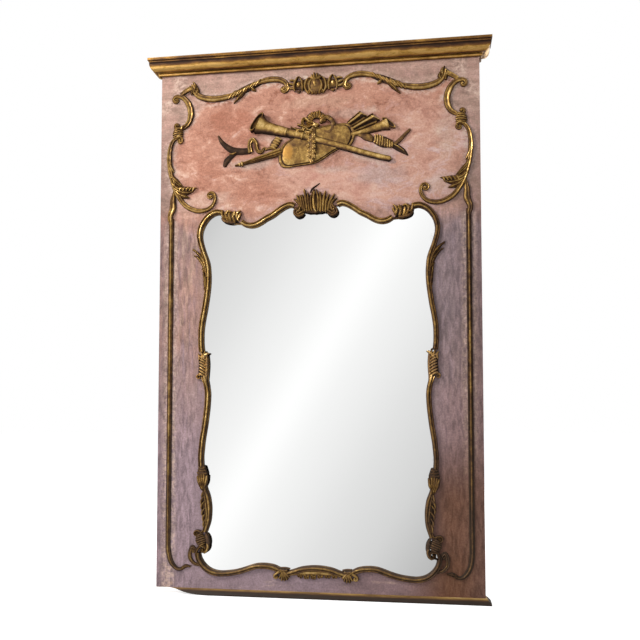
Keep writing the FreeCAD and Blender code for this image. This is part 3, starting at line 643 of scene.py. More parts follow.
field = ramp(tree, brushed, [(0.40, TERRACOTTA), (0.475, SALMON), (0.52, SALMON), (0.60, BLUSH)])
to_lower_right = plus(tree, times(tree, x, 0.55), times(tree, less(tree, panel_z, 1.36), -1.1))
thickness = plus(tree, times(tree, to_lower_right, 0.5), chalky)
field = blend(tree, ramp(tree, thickness, [(0.48, 0.0), (0.66, 0.45)]), field,
              blend(tree, ground(tree, swirls, 0.46, 0.58), PEACH, ROSE_GREY))
fray = times(tree, less(tree, chalky, 0.5), FRAYED)
for cx, cz, wide, tall, coat, amount in PATCHES:
    apart = add(tree, "VectorMath", {0: place, 1: at(cx, cz)}, operation="SUBTRACT").outputs["Vector"]
    apart = stretched(tree, apart, (1 / (wide * MM), 0, 1 / (tall * MM)))
    apart = add(tree, "VectorMath", {0: apart}, operation="LENGTH").outputs["Value"]
    patch = ground(tree, plus(tree, apart, fray), 1.25, 0.35)
    field = laid_over(tree, field, coat, patch, amount)
print(len(PATCHES), "patches in the field")

# %% Band, uprights and bottom rail
band = ramp(tree, lying["Streaks"], [(0.34, TAUPE), (0.48, STONE), (0.62, CHALK)])
band = blend(tree, ramp(tree, brushed, [(0.40, 0.1), (0.60, 0.8)]), band, FADED_PINK)
sides = ramp(tree, upright["Streaks"], [(0.36, LAVENDER), (0.48, MAUVE), (0.62, STONE)])
sides = blend(tree, ramp(tree, clouds, [(0.42, 0.0), (0.66, 0.34)]), sides, SALMON)
sides = blend(tree, ground(tree, panel_z, 0.84, 0.34), sides, LAVENDER)
to_plum = times(tree, ground(tree, x, 0.20, 0.42), ground(tree, panel_z, 0.40, 0.85))
sides = laid_over(tree, sides, PLUM, to_plum, 0.8)
rail = ramp(tree, lying["Streaks"], [(0.40, LAVENDER), (0.56, LAVENDER), (0.70, CHALK)])
print(len(tree.nodes), "nodes with the four coats")

# %% Where each coat lies
FIELD_FOOT = (1.07, 1.19)           # the uprights' mauve gives way to the field here
RAIL_TOP = at(0, 75).z

over = less(tree, panel_z, drawn_ramp(tree, width, GARLAND_LINE, GARLAND_LOW, GARLAND_SPAN))
beyond = less(tree, width, drawn_ramp(tree, panel_z, SCROLL_LINE, 0.0, SCROLL_SPAN))
wavering = plus(tree, panel_z, times(tree, less(tree, clouds, 0.5), 0.15))
colour = blend(tree, ground(tree, wavering, *FIELD_FOOT), sides, field)
beside_field = times(tree, ground(tree, beyond, -0.010, 0.012), ground(tree, panel_z, 1.13, 1.20))
out_of_field = sums(tree, "MAXIMUM", ground(tree, over, -0.012, 0.014), beside_field)
colour = laid_over(tree, colour, band, out_of_field, 0.85)
colour = blend(tree, ground(tree, z, RAIL_TOP + 0.02, RAIL_TOP - 0.02), colour, rail)
print("the bottom rail's paint ends", round(RAIL_TOP, 3), "m up")

# %% Thick, pale paint beside the carving, where the brush stopped
STRIP_LINE = 463.0                  # the strips on the uprights stand this far out
FAR_OFF = 0.5                       # added where a line has no say


def nearness(distance, height, low, high):
    """How far a line is, where it counts only up to or down to a height."""
    return plus(tree, unsigned(tree, distance), times(tree, ground(tree, height, low, high), FAR_OFF))


to_scroll = nearness(beyond, panel_z, 1.20, 1.15)
to_strip = nearness(less(tree, width, STRIP_LINE * MM), panel_z, 1.14, 1.18)
near = sums(tree, "MINIMUM", sums(tree, "MINIMUM", unsigned(tree, over), to_scroll), to_strip)
halo = times(tree, ground(tree, near, 0.030, 0.010), ground(tree, dabs, 0.36, 0.66))
colour = blend(tree, halo, colour, CHALK)

# %% Painted shade on the right, and darker edges
# Umber laid over the right of the paint is painted shade, where the light falls off.
# The paint is also browner low down there, and darker along the outer edges.
for mask_x, mask_z, amount, coat in (
        (ground(tree, x, 0.30, 0.52), ground(tree, z, 1.60, 0.75), 0.38, UMBER_AND_SHADE),
        (ground(tree, x, 0.22, 0.40), ground(tree, panel_z, 0.58, 0.26), 0.88, UMBER_AND_SHADE),
        (ground(tree, x, -0.05, 0.20), ground(tree, panel_z, 0.16, 0.08), 0.36, UMBER_AND_SHADE),
        (ground(tree, width, 0.40, 0.53), ground(tree, z, 1.52, 1.36), 0.42, OUTER_EDGE_DARK)):
    colour = laid_over(tree, colour, coat, times(tree, mask_x, mask_z), amount)

# %% Brush marks, and the sawn backs of the boards
UPRIGHT_EDGE = 0.372                # the uprights begin this far from the middle
FACE_EDGE = (0.497, 0.495)          # the painted edges of the face lie beyond this

lines = mottle(tree, stretched(tree, place, (4, 4, 1)), 22.0, 4.0, 0.6, 0.6)
inwards = ground(tree, less(tree, UPRIGHT_EDGE, width), -0.02, 0.02)
off_uprights = sums(tree, "MAXIMUM", inwards, ground(tree, panel_z, 1.10, 1.20))
marks = blend(tree, off_uprights, lines, brushed)
grit = mottle(tree, place, 190.0, 3.0, 0.6, 0.4)
for pattern, amount, stops in ((marks, 0.62, [(0.36, 0.26), (0.64, 0.74)]),
                               (grit, 0.32, [(0.34, 0.25), (0.66, 0.75)])):
    colour = blend(tree, amount, colour, ramp(tree, pattern, stops), "OVERLAY")
behind = times(tree, ground(tree, y, 0.0005, 0.0015), ground(tree, width, *FACE_EDGE))
sawn = blend(tree, ramp(tree, lying["Streaks"], [(0.36, 0.0), (0.62, 1.0)]), SAWN_DARK, SAWN)
height = plus(tree, swirls, times(tree, upright["Specks"], 0.6))
plug(tree, shader, {"Base Color": blend(tree, behind, colour, sawn), "Specular IOR Level": 0.25,
                    "Roughness": ramp(tree, dabs, [(0.3, 0.72), (0.7, 0.9)]),
                    "Normal": bumped(tree, height, 0.0011, 0.6)})
print(len(tree.nodes), "nodes in the whole paint")

# %% The dark base
BLACK_BROWN = (0.060, 0.036, 0.020)

tree, shader, place = new_finish("dark_base")
# The base is darker towards the bottom and lighter at its top edge.
lighter_to_the_top = ground(tree, axes_of(tree, place)["Z"], 0.006, 0.017)
out = use_group(tree, gilding, {"Vector": stretched(tree, place, (0.12, 1, 1)), "Height": lighter_to_the_top,
                                "Wear_and_shade": -0.14, "Coarse": 70.0})
rough = use_group(tree, strokes, {"Vector": stretched(tree, place, (1, 8, 8)), "Scale": 9.0})
plug(tree, shader, {"Base Color": blend(tree, 0.30, out["Color"], BLACK_BROWN),
                    "Roughness": ramp(tree, rough["Streaks"], [(0.3, 0.5), (0.7, 0.75)]),
                    "Normal": bumped(tree, rough["Specks"], 0.0008, 0.5)})

# %% [markdown]
# ### Bare wood, glass and steel
# Nobody painted the back. Old softwood there has gone brown, with darker late wood
# along the grain, so its group stretches rings along the board and adds pores. The
# glass is a true mirror: full metal, almost no roughness, with a little tarnish at the
# rim where damp got behind the silver. The steel is dull, brushed and spotted.

# %% The group for wood grain
grain, given, result = new_group("wood_grain", [("Vector", "Vector"), ("Rings", "Float")],
                                 [("Late", "Float"), ("Pores", "Float")])
swirl = mottle(grain, given["Vector"], 3.0, 2.0, 0.5, 0.2)
ringed = sums(grain, "FRACT", times(grain, swirl, given["Rings"]))
grain.links.new(ramp(grain, ringed, [(0.0, 0.15), (0.75, 0.6), (0.93, 1.0), (1.0, 0.1)]),
                result["Late"])
grain.links.new(mottle(grain, stretched(grain, given["Vector"], (6, 6, 1)), 22.0, 3.0, 0.7),
                result["Pores"])
print(len(grain.nodes), "nodes in the group for wood")

# %% The bare wood
EARLY_WOOD, LATE_WOOD = (0.420, 0.270, 0.150), (0.215, 0.112, 0.052)
OLD_DIRT, PORE_BROWN = (0.11, 0.075, 0.05), (0.13, 0.07, 0.035)
RAIL_END = (0.4405, 0.4395)         # inside this the boards lie level

tree, shader, place = new_finish("bare_wood")
along = use_group(tree, grain, {"Vector": stretched(tree, place, (7, 7, 0.8)), "Rings": 9.0})
cross = use_group(tree, grain, {"Vector": stretched(tree, place, (0.8, 7, 7)), "Rings": 9.0})
rails = ground(tree, unsigned(tree, axes_of(tree, place)["X"]), *RAIL_END)
late, pores = (blend(tree, rails, along[part], cross[part]) for part in ("Late", "Pores"))
colour = blend(tree, late, EARLY_WOOD, LATE_WOOD)
dirt = mottle(tree, place, 5.0, 5.0, 0.6, 0.5)
colour = blend(tree, ramp(tree, dirt, [(0.45, 0.0), (0.75, 0.6)]), colour, OLD_DIRT)
plug(tree, shader, {"Base Color": laid_over(tree, colour, PORE_BROWN, pores, 0.35),
                    "Roughness": ramp(tree, pores, [(0.3, 0.7), (0.7, 0.88)]),
                    "Normal": bumped(tree, pores, 0.0007, 0.5)})

# %% The looking-glass
SILVER, TARNISH = (0.93, 0.935, 0.93), (0.42, 0.40, 0.36)

tree, shader, place = new_finish("mirror_glass")
smears = mottle(tree, stretched(tree, place, (1, 1, 0.6)), 7.0, 5.0, 0.6, 0.8)
damp = mottle(tree, place, 26.0, 4.0, 0.7)
rim = ground(tree, unsigned(tree, axes_of(tree, place)["X"]), 0.342, 0.372)
spots = times(tree, rim, ramp(tree, damp, [(0.56, 0.0), (0.66, 0.7)]))
plug(tree, shader, {"Base Color": blend(tree, spots, SILVER, TARNISH), "Metallic": 1.0,
                    "Roughness": ramp(tree, smears, [(0.45, 0.008), (0.85, 0.035)])})

# %% Screws and hanging hardware
RUST = (0.16, 0.075, 0.035)

for slot, metal, brushing in (("screws", (0.33, 0.31, 0.29), 40.0),
                              ("hanging_hardware", (0.42, 0.39, 0.34), 70.0)):
    tree, shader, place = new_finish(slot)
    lines = mottle(tree, stretched(tree, place, (1, 1, 12)), brushing, 3.0, 0.6)
    rust = mottle(tree, place, 120.0, 5.0, 0.7)
    plug(tree, shader, {"Base Color": blend(tree, ramp(tree, rust, [(0.52, 0.0), (0.7, 0.9)]), metal,
                                            RUST),
                        "Metallic": ramp(tree, rust, [(0.52, 1.0), (0.7, 0.25)]),
                        "Roughness": ramp(tree, lines, [(0.3, 0.3), (0.7, 0.5)]),
                        "Normal": bumped(tree, lines, 0.0002, 0.5)})
print(len(finishes), "finishes")

# %% Dress the pieces of the solid model that keep their shape
kept_slots = {part["node"]: part["material_slot"] for part in frame["record"]["subparts"]}
for name, piece in frame["nodes"].items():
    piece.data.materials.clear()
    piece.data.materials.append(finishes[kept_slots[name]])
print(len(frame["nodes"]), "pieces have their finish")


# %% [markdown]
# ## The moulding round the glass
# The glass lies behind a sawn opening, and a gilt moulding hides the sawn edge. It
# runs in lengths that end under carved clasps. Each list is the edge on the glass
# side; the strip's middle lies half its width further out.

# %% The runs, for the right half
MOULDING = 15.0
MOULDING_HEIGHT = 10.5
bottom_arch = [(-88, 59), (-70, 64), (-50, 71), (-25, 75.5), (0, 77), (25, 75.5), (50, 71),
               (70, 64), (88, 59)]
bottom_run = [(100, 62), (115, 70), (130, 76), (150, 79.2), (167, 79.6), (185, 78), (205, 72),
              (228, 64), (250, 58), (275, 54), (300, 52.5), (320, 56), (336, 64), (348, 75),
              (357, 88), (361, 100), (361, 108)]
leafy_run = [(340, 170), (336, 182), (331, 197), (328, 215), (327, 240), (329, 262), (333, 282),
             (340, 300), (343, 310)]
lower_run = [(353, 372), (354.5, 400), (352.5, 425), (350, 450), (346, 475), (342, 500),
             (339.5, 520), (336, 550), (334, 580), (334, 600), (337, 620), (342, 640)]
upper_run = [(354, 728), (356.5, 750), (357, 775), (356, 800), (351, 835), (346, 860), (340, 900),
             (337.5, 920), (335.5, 945), (335.5, 970), (338, 1000), (343, 1020), (354, 1050),
             (362.5, 1080), (364, 1100), (359, 1120), (350, 1136), (339, 1149), (325, 1158),
             (312, 1161), (300, 1158)]
top_run = [(238, 1127), (225, 1119), (208, 1115), (190, 1117), (172, 1125), (154, 1136),
           (134, 1146), (114, 1160), (96, 1171), (80, 1176), (70, 1172)]
print("the longest run is", round(line_length(upper_run)), "mm")

# %% A length of moulding, and the gilt lip under it
LIP = [(3.0, -17.6, 0.0), (-1.2, -17.6, 0.1), (-1.7, -14.0, 0.50), (-1.5, -8.0, 0.68),
       (-0.8, -2.5, 0.76), (0.6, 0.6, 0.6), (3.0, 0.6, 0.3)]       # aside, height, relief


def lip(bm, edge):
    """The gilt lip of the opening, which runs from the face down to the glass."""
    line = smooth_line(edge, 2 * len(edge))

    def place(column, row):
        aside, height, relief = LIP[column % len(LIP)]
        spot, ahead = line[row]
        spot = spot + Vector((ahead.y, -ahead.x)) * aside
        return at(spot.x, spot.y, height), relief

    bent_grid(bm, len(LIP), 2 * len(edge), place)


def moulding(bm, edge):
    """A length of moulding beside its edge, over its lip."""
    lip(bm, edge)
    middle = []
    for place, ahead in smooth_line(edge, 3 * len(edge)):
        middle.append(tuple(place + Vector((ahead.y, -ahead.x)) * (MOULDING / 2)))
    strip(bm, middle, MOULDING, MOULDING_HEIGHT, RAIL, rows=round(line_length(edge) / 4))


# %% A carved leaf
LEAF_STEPS = 40
FIRST_LOBE, LAST_LOBE = 0.12, 0.86  # places along the spine
SPREAD = 52.0                       # degrees between the spine and its first lobe
STAGGER = 0.03                      # lobes on the two sides don't start together


def leaf(bm, spine, widths, height, lobes, reach, sides=(-1, 1)):
    """A carved leaf: a veined spine, and lobes that swing out and curl forward."""
    strip(bm, spine, widths, height, VEIN, end=5.0)
    line = smooth_line(spine, LEAF_STEPS)
    for side in sides:
        for number in range(lobes):
            share = FIRST_LOBE + (LAST_LOBE - FIRST_LOBE) * number / max(lobes - 1, 1)
            share += STAGGER * side
            spot, ahead = line[min(LEAF_STEPS, max(0, round(share * LEAF_STEPS)))]
            out = Vector((ahead.y, -ahead.x)) * side
            size = reach * (1 - 0.45 * share)
            lean = math.radians(SPREAD * (1 - 0.35 * share))
            root = spot - ahead * size * 0.25
            middle = spot + (ahead * math.cos(lean) + out * math.sin(lean)) * size * 0.55
            tip = middle + (ahead * 0.86 + out * 0.5) * size * 0.55
            lobe = size * 0.52
            strip(bm, [tuple(root), tuple(middle), tuple(tip)], [lobe * 0.7, lobe, lobe * 0.45],
                  height * (0.95 - 0.25 * share), LOBE, end=lobe * 0.4, rows=7)


# %% Plain lengths of the moulding
for node, run in (("lower_run", lower_run), ("top_run", top_run)):
    both_sides(lambda bm: moulding(bm, run), node)

# %% [markdown]
# ## The bottom of the opening
# The arch in the middle carries a fluted leaf under its moulding, and a fan-shaped
# clasp at each end holds the arch and the next run together.

# %% The arch
ARCH_FLUTES = [(-52, 43), (-43, 39), (-33, 38), (-22, 38), (-12, 38), (-2, 37), (9, 41), (20, 43),
               (31, 42), (42, 42), (53, 42), (63, 43), (73, 46)]      # each one's place and foot


def blades(bm, drawn, widths, height, section=BLADE):
    """Several carved blades of one kind, each along its own line."""
    for line in drawn:
        strip(bm, line, widths, height, section, end=4.0)


def build_bottom_arch(bm):
    moulding(bm, bottom_arch)
    strip(bm, [(-76, 50), (-38, 56), (0, 58), (38, 56), (76, 50)], [6, 10, 12, 10, 6], 7.0, ROUND,
          start=6, end=6)
    for number, (x, low) in enumerate(ARCH_FLUTES):
        lean = -3 if number % 2 else 2
        strip(bm, [(x * .96, 57), (x, 51), (x + lean, low)], [7, 10, 7], 9.0 - number % 3, LOBE,
              end=4, rows=7)
        knob(bm, x + lean * .5, 51 - number % 2 * 3, 3.2, 2.8, 9.8 - number % 3)


one_piece(build_bottom_arch, "bottom_arch")


# %% Bottom runs and fans
def build_bottom_run(bm):
    moulding(bm, bottom_run)
    volute(bm, [(360, 70), (378, 75), (391, 90), (392, 108)], (383, 116), (9.5, 70, 1.15),
           [8, 12, 13, 12, 9, 6], 9.0, (3.2, 9.5), start=0)


def build_bottom_clasp(bm):
    lip(bm, [(80, 66.5), (92, 69), (108, 69)])
    for number, tip in enumerate(((79, 42), (85, 34), (94, 30), (104, 30), (112, 36))):
        strip(bm, [(98 + number, 62), ((96 + tip[0]) / 2, (60 + tip[1]) / 2 + 2), tip],
              [5, 9, 7], 14.0 - number, BLADE, end=4, rows=9)
    volute(bm, [(110, 60), (118, 54)], (120, 44), (7.5, 60, -1.1), [9, 8, 6, 4], 11.0, (2.6, 12),
           ROUND, start=0)
    strip(bm, [(84, 63), (97, 60), (112, 64)], [8, 12, 8], 13.0, FLUTE, start=3, end=3)


both_sides(build_bottom_run, "bottom_run")
both_sides(build_bottom_clasp, "bottom_clasp")

# %% [markdown]
# ## Clasps and leaves beside the glass
# A clasp is a short band wrapped over the moulding. Its ribs run from a line on the
# panel to a line by the glass, and on the side clasps each ends in a bead there. A low
# pad, painted dark as the shade between the ribs, fills the gaps, so the ribs look cut
# from one block.

# %% Ribbed bands
def ribbed(bm, outer, inner, ribs, wide, height, bow, bead=0.0):
    """Ribs laid side by side, each from the outer line to the inner line."""
    starts, ends = smooth_line(outer, ribs), smooth_line(inner, ribs)
    pad = [tuple(a.lerp(b, .5)) for (a, _), (b, _) in zip(starts, ends)]
    spans = [(a - b).length * .92 for (a, _), (b, _) in zip(starts, ends)]
    strip(bm, pad, spans, height * 1.7, SHADE, start=3, end=3)
    for (a, _), (b, _) in zip(starts, ends):
        aside = Vector((b.y - a.y, a.x - b.x)).normalized() * bow
        strip(bm, [tuple(a), tuple(a.lerp(b, .35) + aside), tuple(a.lerp(b, .72) + aside * .8),
                   tuple(b)], [wide * .5, wide, wide, wide * .7],
              [height * .7, height * 1.1, height * 1.1, height * .85], SOFT, start=2,
              end=2, rows=9)
        if bead:
            knob(bm, b.x, b.y, bead, bead, height * .95)


# %% [markdown]
# A corner clasp is a block of slanting ribs between two volutes. One volute curls over
# the panel, and the other opens by the glass, over the end of the bottom run.

# %% Corner clasps
def build_corner_clasp(bm):
    lip(bm, [(360, 106), (348, 110), (337, 120), (333, 136), (335, 152), (341, 172)])
    strip(bm, [(342, 168), (336, 152), (334, 136), (340, 121)], [6, 13, 13, 7], 15.0, DULL,
          start=4, end=4)
    ribbed(bm, [(366, 126), (374, 138), (376, 149), (371, 158)],
           [(341, 139), (339, 149), (343, 158), (352, 167)], 5, 8.5, 13.5, 1.5)
    volute(bm, [(346, 178), (354, 170), (362, 173)], (370, 166), (8.5, 110, -1.2),
           [7, 9, 9, 8, 6, 4], 13.0, (3.0, 12.5))
    volute(bm, [(371, 100), (370, 113), (362, 126)], (350, 118), (12, 75, 1.3),
           [9, 9, 9, 8, 7, 5, 4], 14.5, (3.0, 14.5), start=3)
    strip(bm, [(338, 140), (333, 128), (338, 114), (348, 106)], [5, 8, 8, 4], 13.0, ROUND, start=3,
          end=3)


both_sides(build_corner_clasp, "corner_clasp")


# %% [markdown]
# Above the corner a veined leaf lies on the moulding, with six blades along its side. It
# hangs from a cup, whose blades rise to three bands under the next run.

# %% Leafy runs and their cups
def build_lower_leaf(bm):
    moulding(bm, leafy_run)
    lip(bm, [(343, 308), (346, 330), (350, 352), (353, 374)])
    strip(bm, [(349, 304), (345, 280), (341, 255), (338, 225), (340, 200), (346, 176)],
          [6, 17, 22, 20, 14, 5], 13.5, VEIN, start=4, end=5)
    blades(bm, [[(350, 296), (353, 284), (352, 271)], [(346, 282), (355, 268), (357, 255)],
                [(345, 266), (355, 252), (354, 238)], [(342, 246), (352, 234), (353, 220)],
                [(342, 228), (350, 216), (349, 202)], [(343, 210), (348, 198), (347, 184)]],
           [5, 9, 5], 12.5)
    strip(bm, [(352, 298), (353, 322), (354, 346), (356, 376)], [6, 24, 33, 20], 13.0, DULL,
          start=3, end=5)
    blades(bm, [[(352, 300), (363, 320), (370, 344)], [(352, 300), (360, 326), (363, 348)],
                [(352, 300), (355, 330), (356, 350)], [(352, 300), (349, 330), (348, 350)],
                [(351, 302), (343, 322), (339, 346)]], [6, 12, 8], 14.0)
    for low, half in ((350, 17), (359, 13.5), (367, 11)):
        strip(bm, [(355 - half, low + 2), (355, low - 1), (356 + half, low + 3)], [5, 8, 5], 14.5, SOFT,
              start=2, end=2, rows=10)
    blades(bm, [[(353, 300), (359, 318), (366, 330)], [(351, 300), (352, 320), (353, 338)],
                [(351, 300), (346, 316), (341, 328)]], [6, 10, 6], 17.0, LOBE)
    knob(bm, 352, 308, 4.5, 7, 16)


both_sides(build_lower_leaf, "lower_leaf")


# %% [markdown]
# Halfway up, the ribs of a side clasp end in beads on the glass side. Three blades
# stand over them, and a volute and two long tails lie under them.

# %% Side clasps
def build_side_clasp(bm):
    lip(bm, [(341, 636), (341, 660), (340, 690), (343, 712), (353, 732)])
    strip(bm, [(344, 636), (343, 660), (342, 690), (344, 722)], [7, 9, 9, 7], 13.0, DULL,
          start=3, end=3)
    ribbed(bm, [(370, 662), (369, 676), (368, 694), (370, 715)],
           [(346, 648), (345, 664), (345, 684), (347, 703)], 6, 9.5, 14.0, 1.5, 2.8)
    blades(bm, [[(368, 700), (366, 712), (372, 722)], [(357, 704), (357, 716), (363, 730)],
                [(352, 704), (350, 716), (349, 731)]], [6, 9, 3], 14.0)
    strip(bm, [(354, 711), (347, 716), (341, 721), (334, 722)], [7, 9, 8, 2], 13.0, ROUND, end=2)
    strip(bm, [(352, 657), (362, 656)] + spiral(368, 648, 7.0, 90, -1.1), [8, 9, 7, 5, 4], 12.0,
          FLUTE, start=2, end=2)
    strip(bm, [(350, 655), (346, 638), (341, 620), (337, 598)], [10, 12, 9, 2], 13.0, BLADE,
          start=3)
    strip(bm, [(358, 650), (353, 636), (346, 618)], [8, 7, 2], 12.0, BLADE, start=3)


both_sides(build_side_clasp, "side_clasp")


# %% Upper runs, with three leaves that lean out over the panel
def build_upper_run(bm):
    moulding(bm, upper_run)
    leaf(bm, [(348, 908), (351, 940), (354, 965), (360, 993)], [7, 11, 9, 3], 8.5, 4, 9.0,
         sides=(1,))
    leaf(bm, [(344, 962), (352, 1002), (366, 1028), (393, 1053)], [9, 14, 13, 3], 11.5, 4, 12.0,
         sides=(1,))
    leaf(bm, [(349, 972), (358, 1000), (374, 1022), (388, 1033)], [7, 11, 9, 3], 9.0, 3, 9.0,
         sides=(1,))


both_sides(build_upper_run, "upper_run")

# %% [markdown]
# ## The top of the opening: shoulder clasps and the shell
# The shell is the highest carving on the frame. It is not even: broad blades sweep up
# to the left, a split tongue stands in the middle, and a dark sprig crosses the top.
# At each foot two bands curl under, one inside the other, round a button.

# %% Shoulder clasps
def build_shoulder_clasp(bm):
    lip(bm, [(302, 1159), (292, 1144), (278, 1134), (258, 1129), (236, 1127)])
    ribbed(bm, [(296, 1174), (284, 1171), (266, 1167), (247, 1168)],
           [(288, 1143), (271, 1135), (256, 1132), (243, 1135)], 4, 12.5, 13.5, -3.0)
    blades(bm, [[(284, 1158), (277, 1168), (265, 1164)], [(262, 1148), (256, 1160), (257, 1170)],
                [(250, 1150), (246, 1162), (237, 1170)], [(246, 1140), (240, 1152), (236, 1162)]],
           [7, 9, 5], 14.5)
    strip(bm, [(300, 1149), (293, 1140), (282, 1135), (268, 1132), (252, 1131)], [4, 9, 10, 9, 5],
          13.0, DULL, start=3, end=3)
    volute(bm, [(298, 1158), (290, 1150)], (279, 1141), (8.0, 60, 1.1), [9, 9, 8, 6, 4], 13.5,
           (2.8, 13.5))


both_sides(build_shoulder_clasp, "shoulder_clasp")

# %% The shell
SHELL_BLADES = [                 # root, middle, tip, width, height
    ((-47, 1172), (-57, 1190), (-70, 1200), 11, 11), ((-43, 1170), (-52, 1194), (-60, 1212), 13, 12.5),
    ((-38, 1163), (-44, 1190), (-50, 1212), 11, 14), ((-33, 1158), (-37, 1190), (-44, 1213), 11, 13),
    ((-26, 1157), (-29, 1192), (-37, 1230), 13, 14.5), ((-19, 1158), (-22, 1190), (-25, 1218), 10, 13.5),
    ((-12, 1158), (-14, 1196), (-4, 1228), 10, 15), ((8, 1156), (9, 1194), (1, 1228), 10, 14.5),
    ((15, 1154), (17, 1188), (13, 1220), 13, 14), ((23, 1154), (25, 1186), (30, 1222), 12, 14.5),
    ((31, 1153), (34, 1184), (42, 1211), 12, 13), ((38, 1154), (44, 1182), (59, 1211), 12, 13.5),
    ((44, 1160), (51, 1184), (67, 1197), 10, 11)]


def facing(side, lines):
    """Lines drawn for the right, or the same lines turned to the left."""
    return [[(side * x, z) for x, z in line] for line in lines]


def build_shell_crest(bm):
    strip(bm, [(-50, 1172), (-24, 1178), (0, 1182), (24, 1178), (50, 1170)], [26, 52, 62, 52, 26],
          9.5, DULL, start=6, end=6)
    for root, middle, tip, wide, height in SHELL_BLADES:
        strip(bm, [root, middle, tip], [wide * .7, wide, wide * .4], height * 1.15, SOFT, start=3, end=3)
    strip(bm, [(4, 1154), (-3, 1164), (-6, 1184), (-5, 1208), (-4, 1222)], [5, 8, 8, 8, 3], 16.0,
          ROUND, start=2, end=3)
    strip(bm, [(-17, 1217), (-12, 1228), (0, 1237), (13, 1246)], [4, 6, 5, 2], 7.0, SHADE, end=2)
    for side in (-1, 1):
        volutes = facing(side, [[(50, 1180), (55, 1170), (65, 1163), (66, 1152), (56, 1144), (45, 1146),
                                 (34, 1154)],
                                [(48, 1172), (51, 1161), (58, 1158), (59, 1152), (52, 1150), (43, 1156),
                                 (34, 1162)]])
        blades(bm, volutes, [6, 8, 8, 8, 8, 7, 3], 17.0, DULL)
        knob(bm, side * 56, 1161, 4.2, 4.2, 12)


one_piece(build_shell_crest, "shell_crest")

# %% [markdown]
# ## Long strips and scrolls on the panel
# A long beaded strip runs down each upright, and turns inwards at the foot to end in a
# leaf. The scrolls beside the field are wide, soft bands with a shallow flute. Leaves
# wrap over them where they change direction, and there the carver cut short, slanting
# blades.

# %% Strips on the uprights
STRIP = 16.0


def build_stile_strip(bm):
    strip(bm, [(STRIP_LINE, z) for z in (1150, 900, 650, 400, 140)], STRIP, 8.0, BEADED)
    strip(bm, [(STRIP_LINE, 142), (462.6, 122), (460, 101), (454, 81), (444, 66), (432, 57), (419, 57),
               (409, 63)], [STRIP, STRIP, STRIP, STRIP, STRIP, 13, 11, 8], 8.0, BEADED, end=5)
    strip(bm, [(463, 1132), (468, 1156), (459, 1184), (459, 1208), (455, 1240)],
          [13, 18, 22, 18, 6], 9.5, FLUTE, end=4)
    leaf(bm, [(420, 58), (404, 66), (389, 66)], [9, 13, 3], 9.0, 3, 9.0)


both_sides(build_stile_strip, "stile_strip")


# %% Side scrolls and ear scrolls
def build_side_scroll(bm):
    strip(bm, list(reversed(spiral(438, 1401, 10, 80, 1.15)))
          + [(453, 1408), (464, 1394), (470, 1372), (472, 1345), (469, 1312), (463, 1282),
             (455, 1255), (444, 1228), (427, 1202), (408, 1185), (385, 1175), (362, 1173),
             (341, 1179), (327, 1192), (321, 1208)] + spiral(335, 1219, 13.5, 190, -1.2),
          [6, 9, 12, 14, 16, 16, 16, 16, 16, 16, 16, 15, 13, 11, 9, 7], 9.5, FLUTE, start=2, end=2)
    knob(bm, 438, 1401, 3.0, 3.0, 9)
    knob(bm, 335, 1219, 3.8, 3.8, 9)
    blades(bm, [[(472, 1338), (465, 1318), (455, 1298)], [(472, 1320), (466, 1308), (461, 1292)]],
           [5, 9, 2], 9.5)
    blades(bm, [[(470, 1298), (452, 1276), (425, 1252)], [(464, 1284), (450, 1266), (431, 1252)],
                [(462, 1268), (449, 1250), (436, 1246)]], [9, 15, 2], 12.0, VEIN)
    blades(bm, [[(462, 1264), (440, 1246), (412, 1245), (378, 1247)],
                [(458, 1250), (436, 1236), (412, 1232), (390, 1236)],
                [(452, 1240), (434, 1226), (418, 1220), (402, 1215)]], [10, 17, 14, 2], 11.5, VEIN)
    for number, x in enumerate((432, 421, 410, 399, 389)):
        strip(bm, [(x + 5, 1238), (x, 1246), (x - 5, 1253 - number)], [6, 8, 3], 11.0, BLADE, end=2,
              rows=6)


def build_ear_scroll(bm):
    strip(bm, list(reversed(spiral(450, 1534, 12.5, 110, -1.15)))
          + [(429, 1541), (414, 1526), (405, 1506), (402, 1487), (405, 1468), (413, 1453),
             (426, 1443)] + spiral(446, 1450, 10.5, 250, 1.05),
          [6, 9, 13, 17, 20, 21, 20, 17, 12, 9, 6], 9.5, FLUTE, start=2, end=2)
    knob(bm, 450, 1534, 3.4, 3.4, 9)
    knob(bm, 446, 1450, 3.2, 3.2, 9)
    ribbed(bm, [(462, 1414), (463, 1424), (459, 1435)], [(427, 1417), (426, 1427), (429, 1439)], 3,
           9.0, 12.0, 1.5)
    blades(bm, [[(452, 1410), (440, 1414), (428, 1410)], [(434, 1436), (428, 1446), (419, 1450)]],
           [6, 9, 4], 12.0)


both_sides(build_side_scroll, "side_scroll")
both_sides(build_ear_scroll, "ear_scroll")

# %% [markdown]
# A garland is a wide band that falls from the ear scroll and rises again to a volute by
# the middle. Blades cross it between the two, as if leaves were wound round it, and a
# pad under them, painted dark as shade, keeps their gaps from showing the paint.

# %% Garlands
GARLAND_BLADES = ((180, 1575), (190, 1571), (200, 1567), (211, 1562), (222, 1556), (233, 1550),
                  (244, 1545), (255, 1541), (266, 1538))


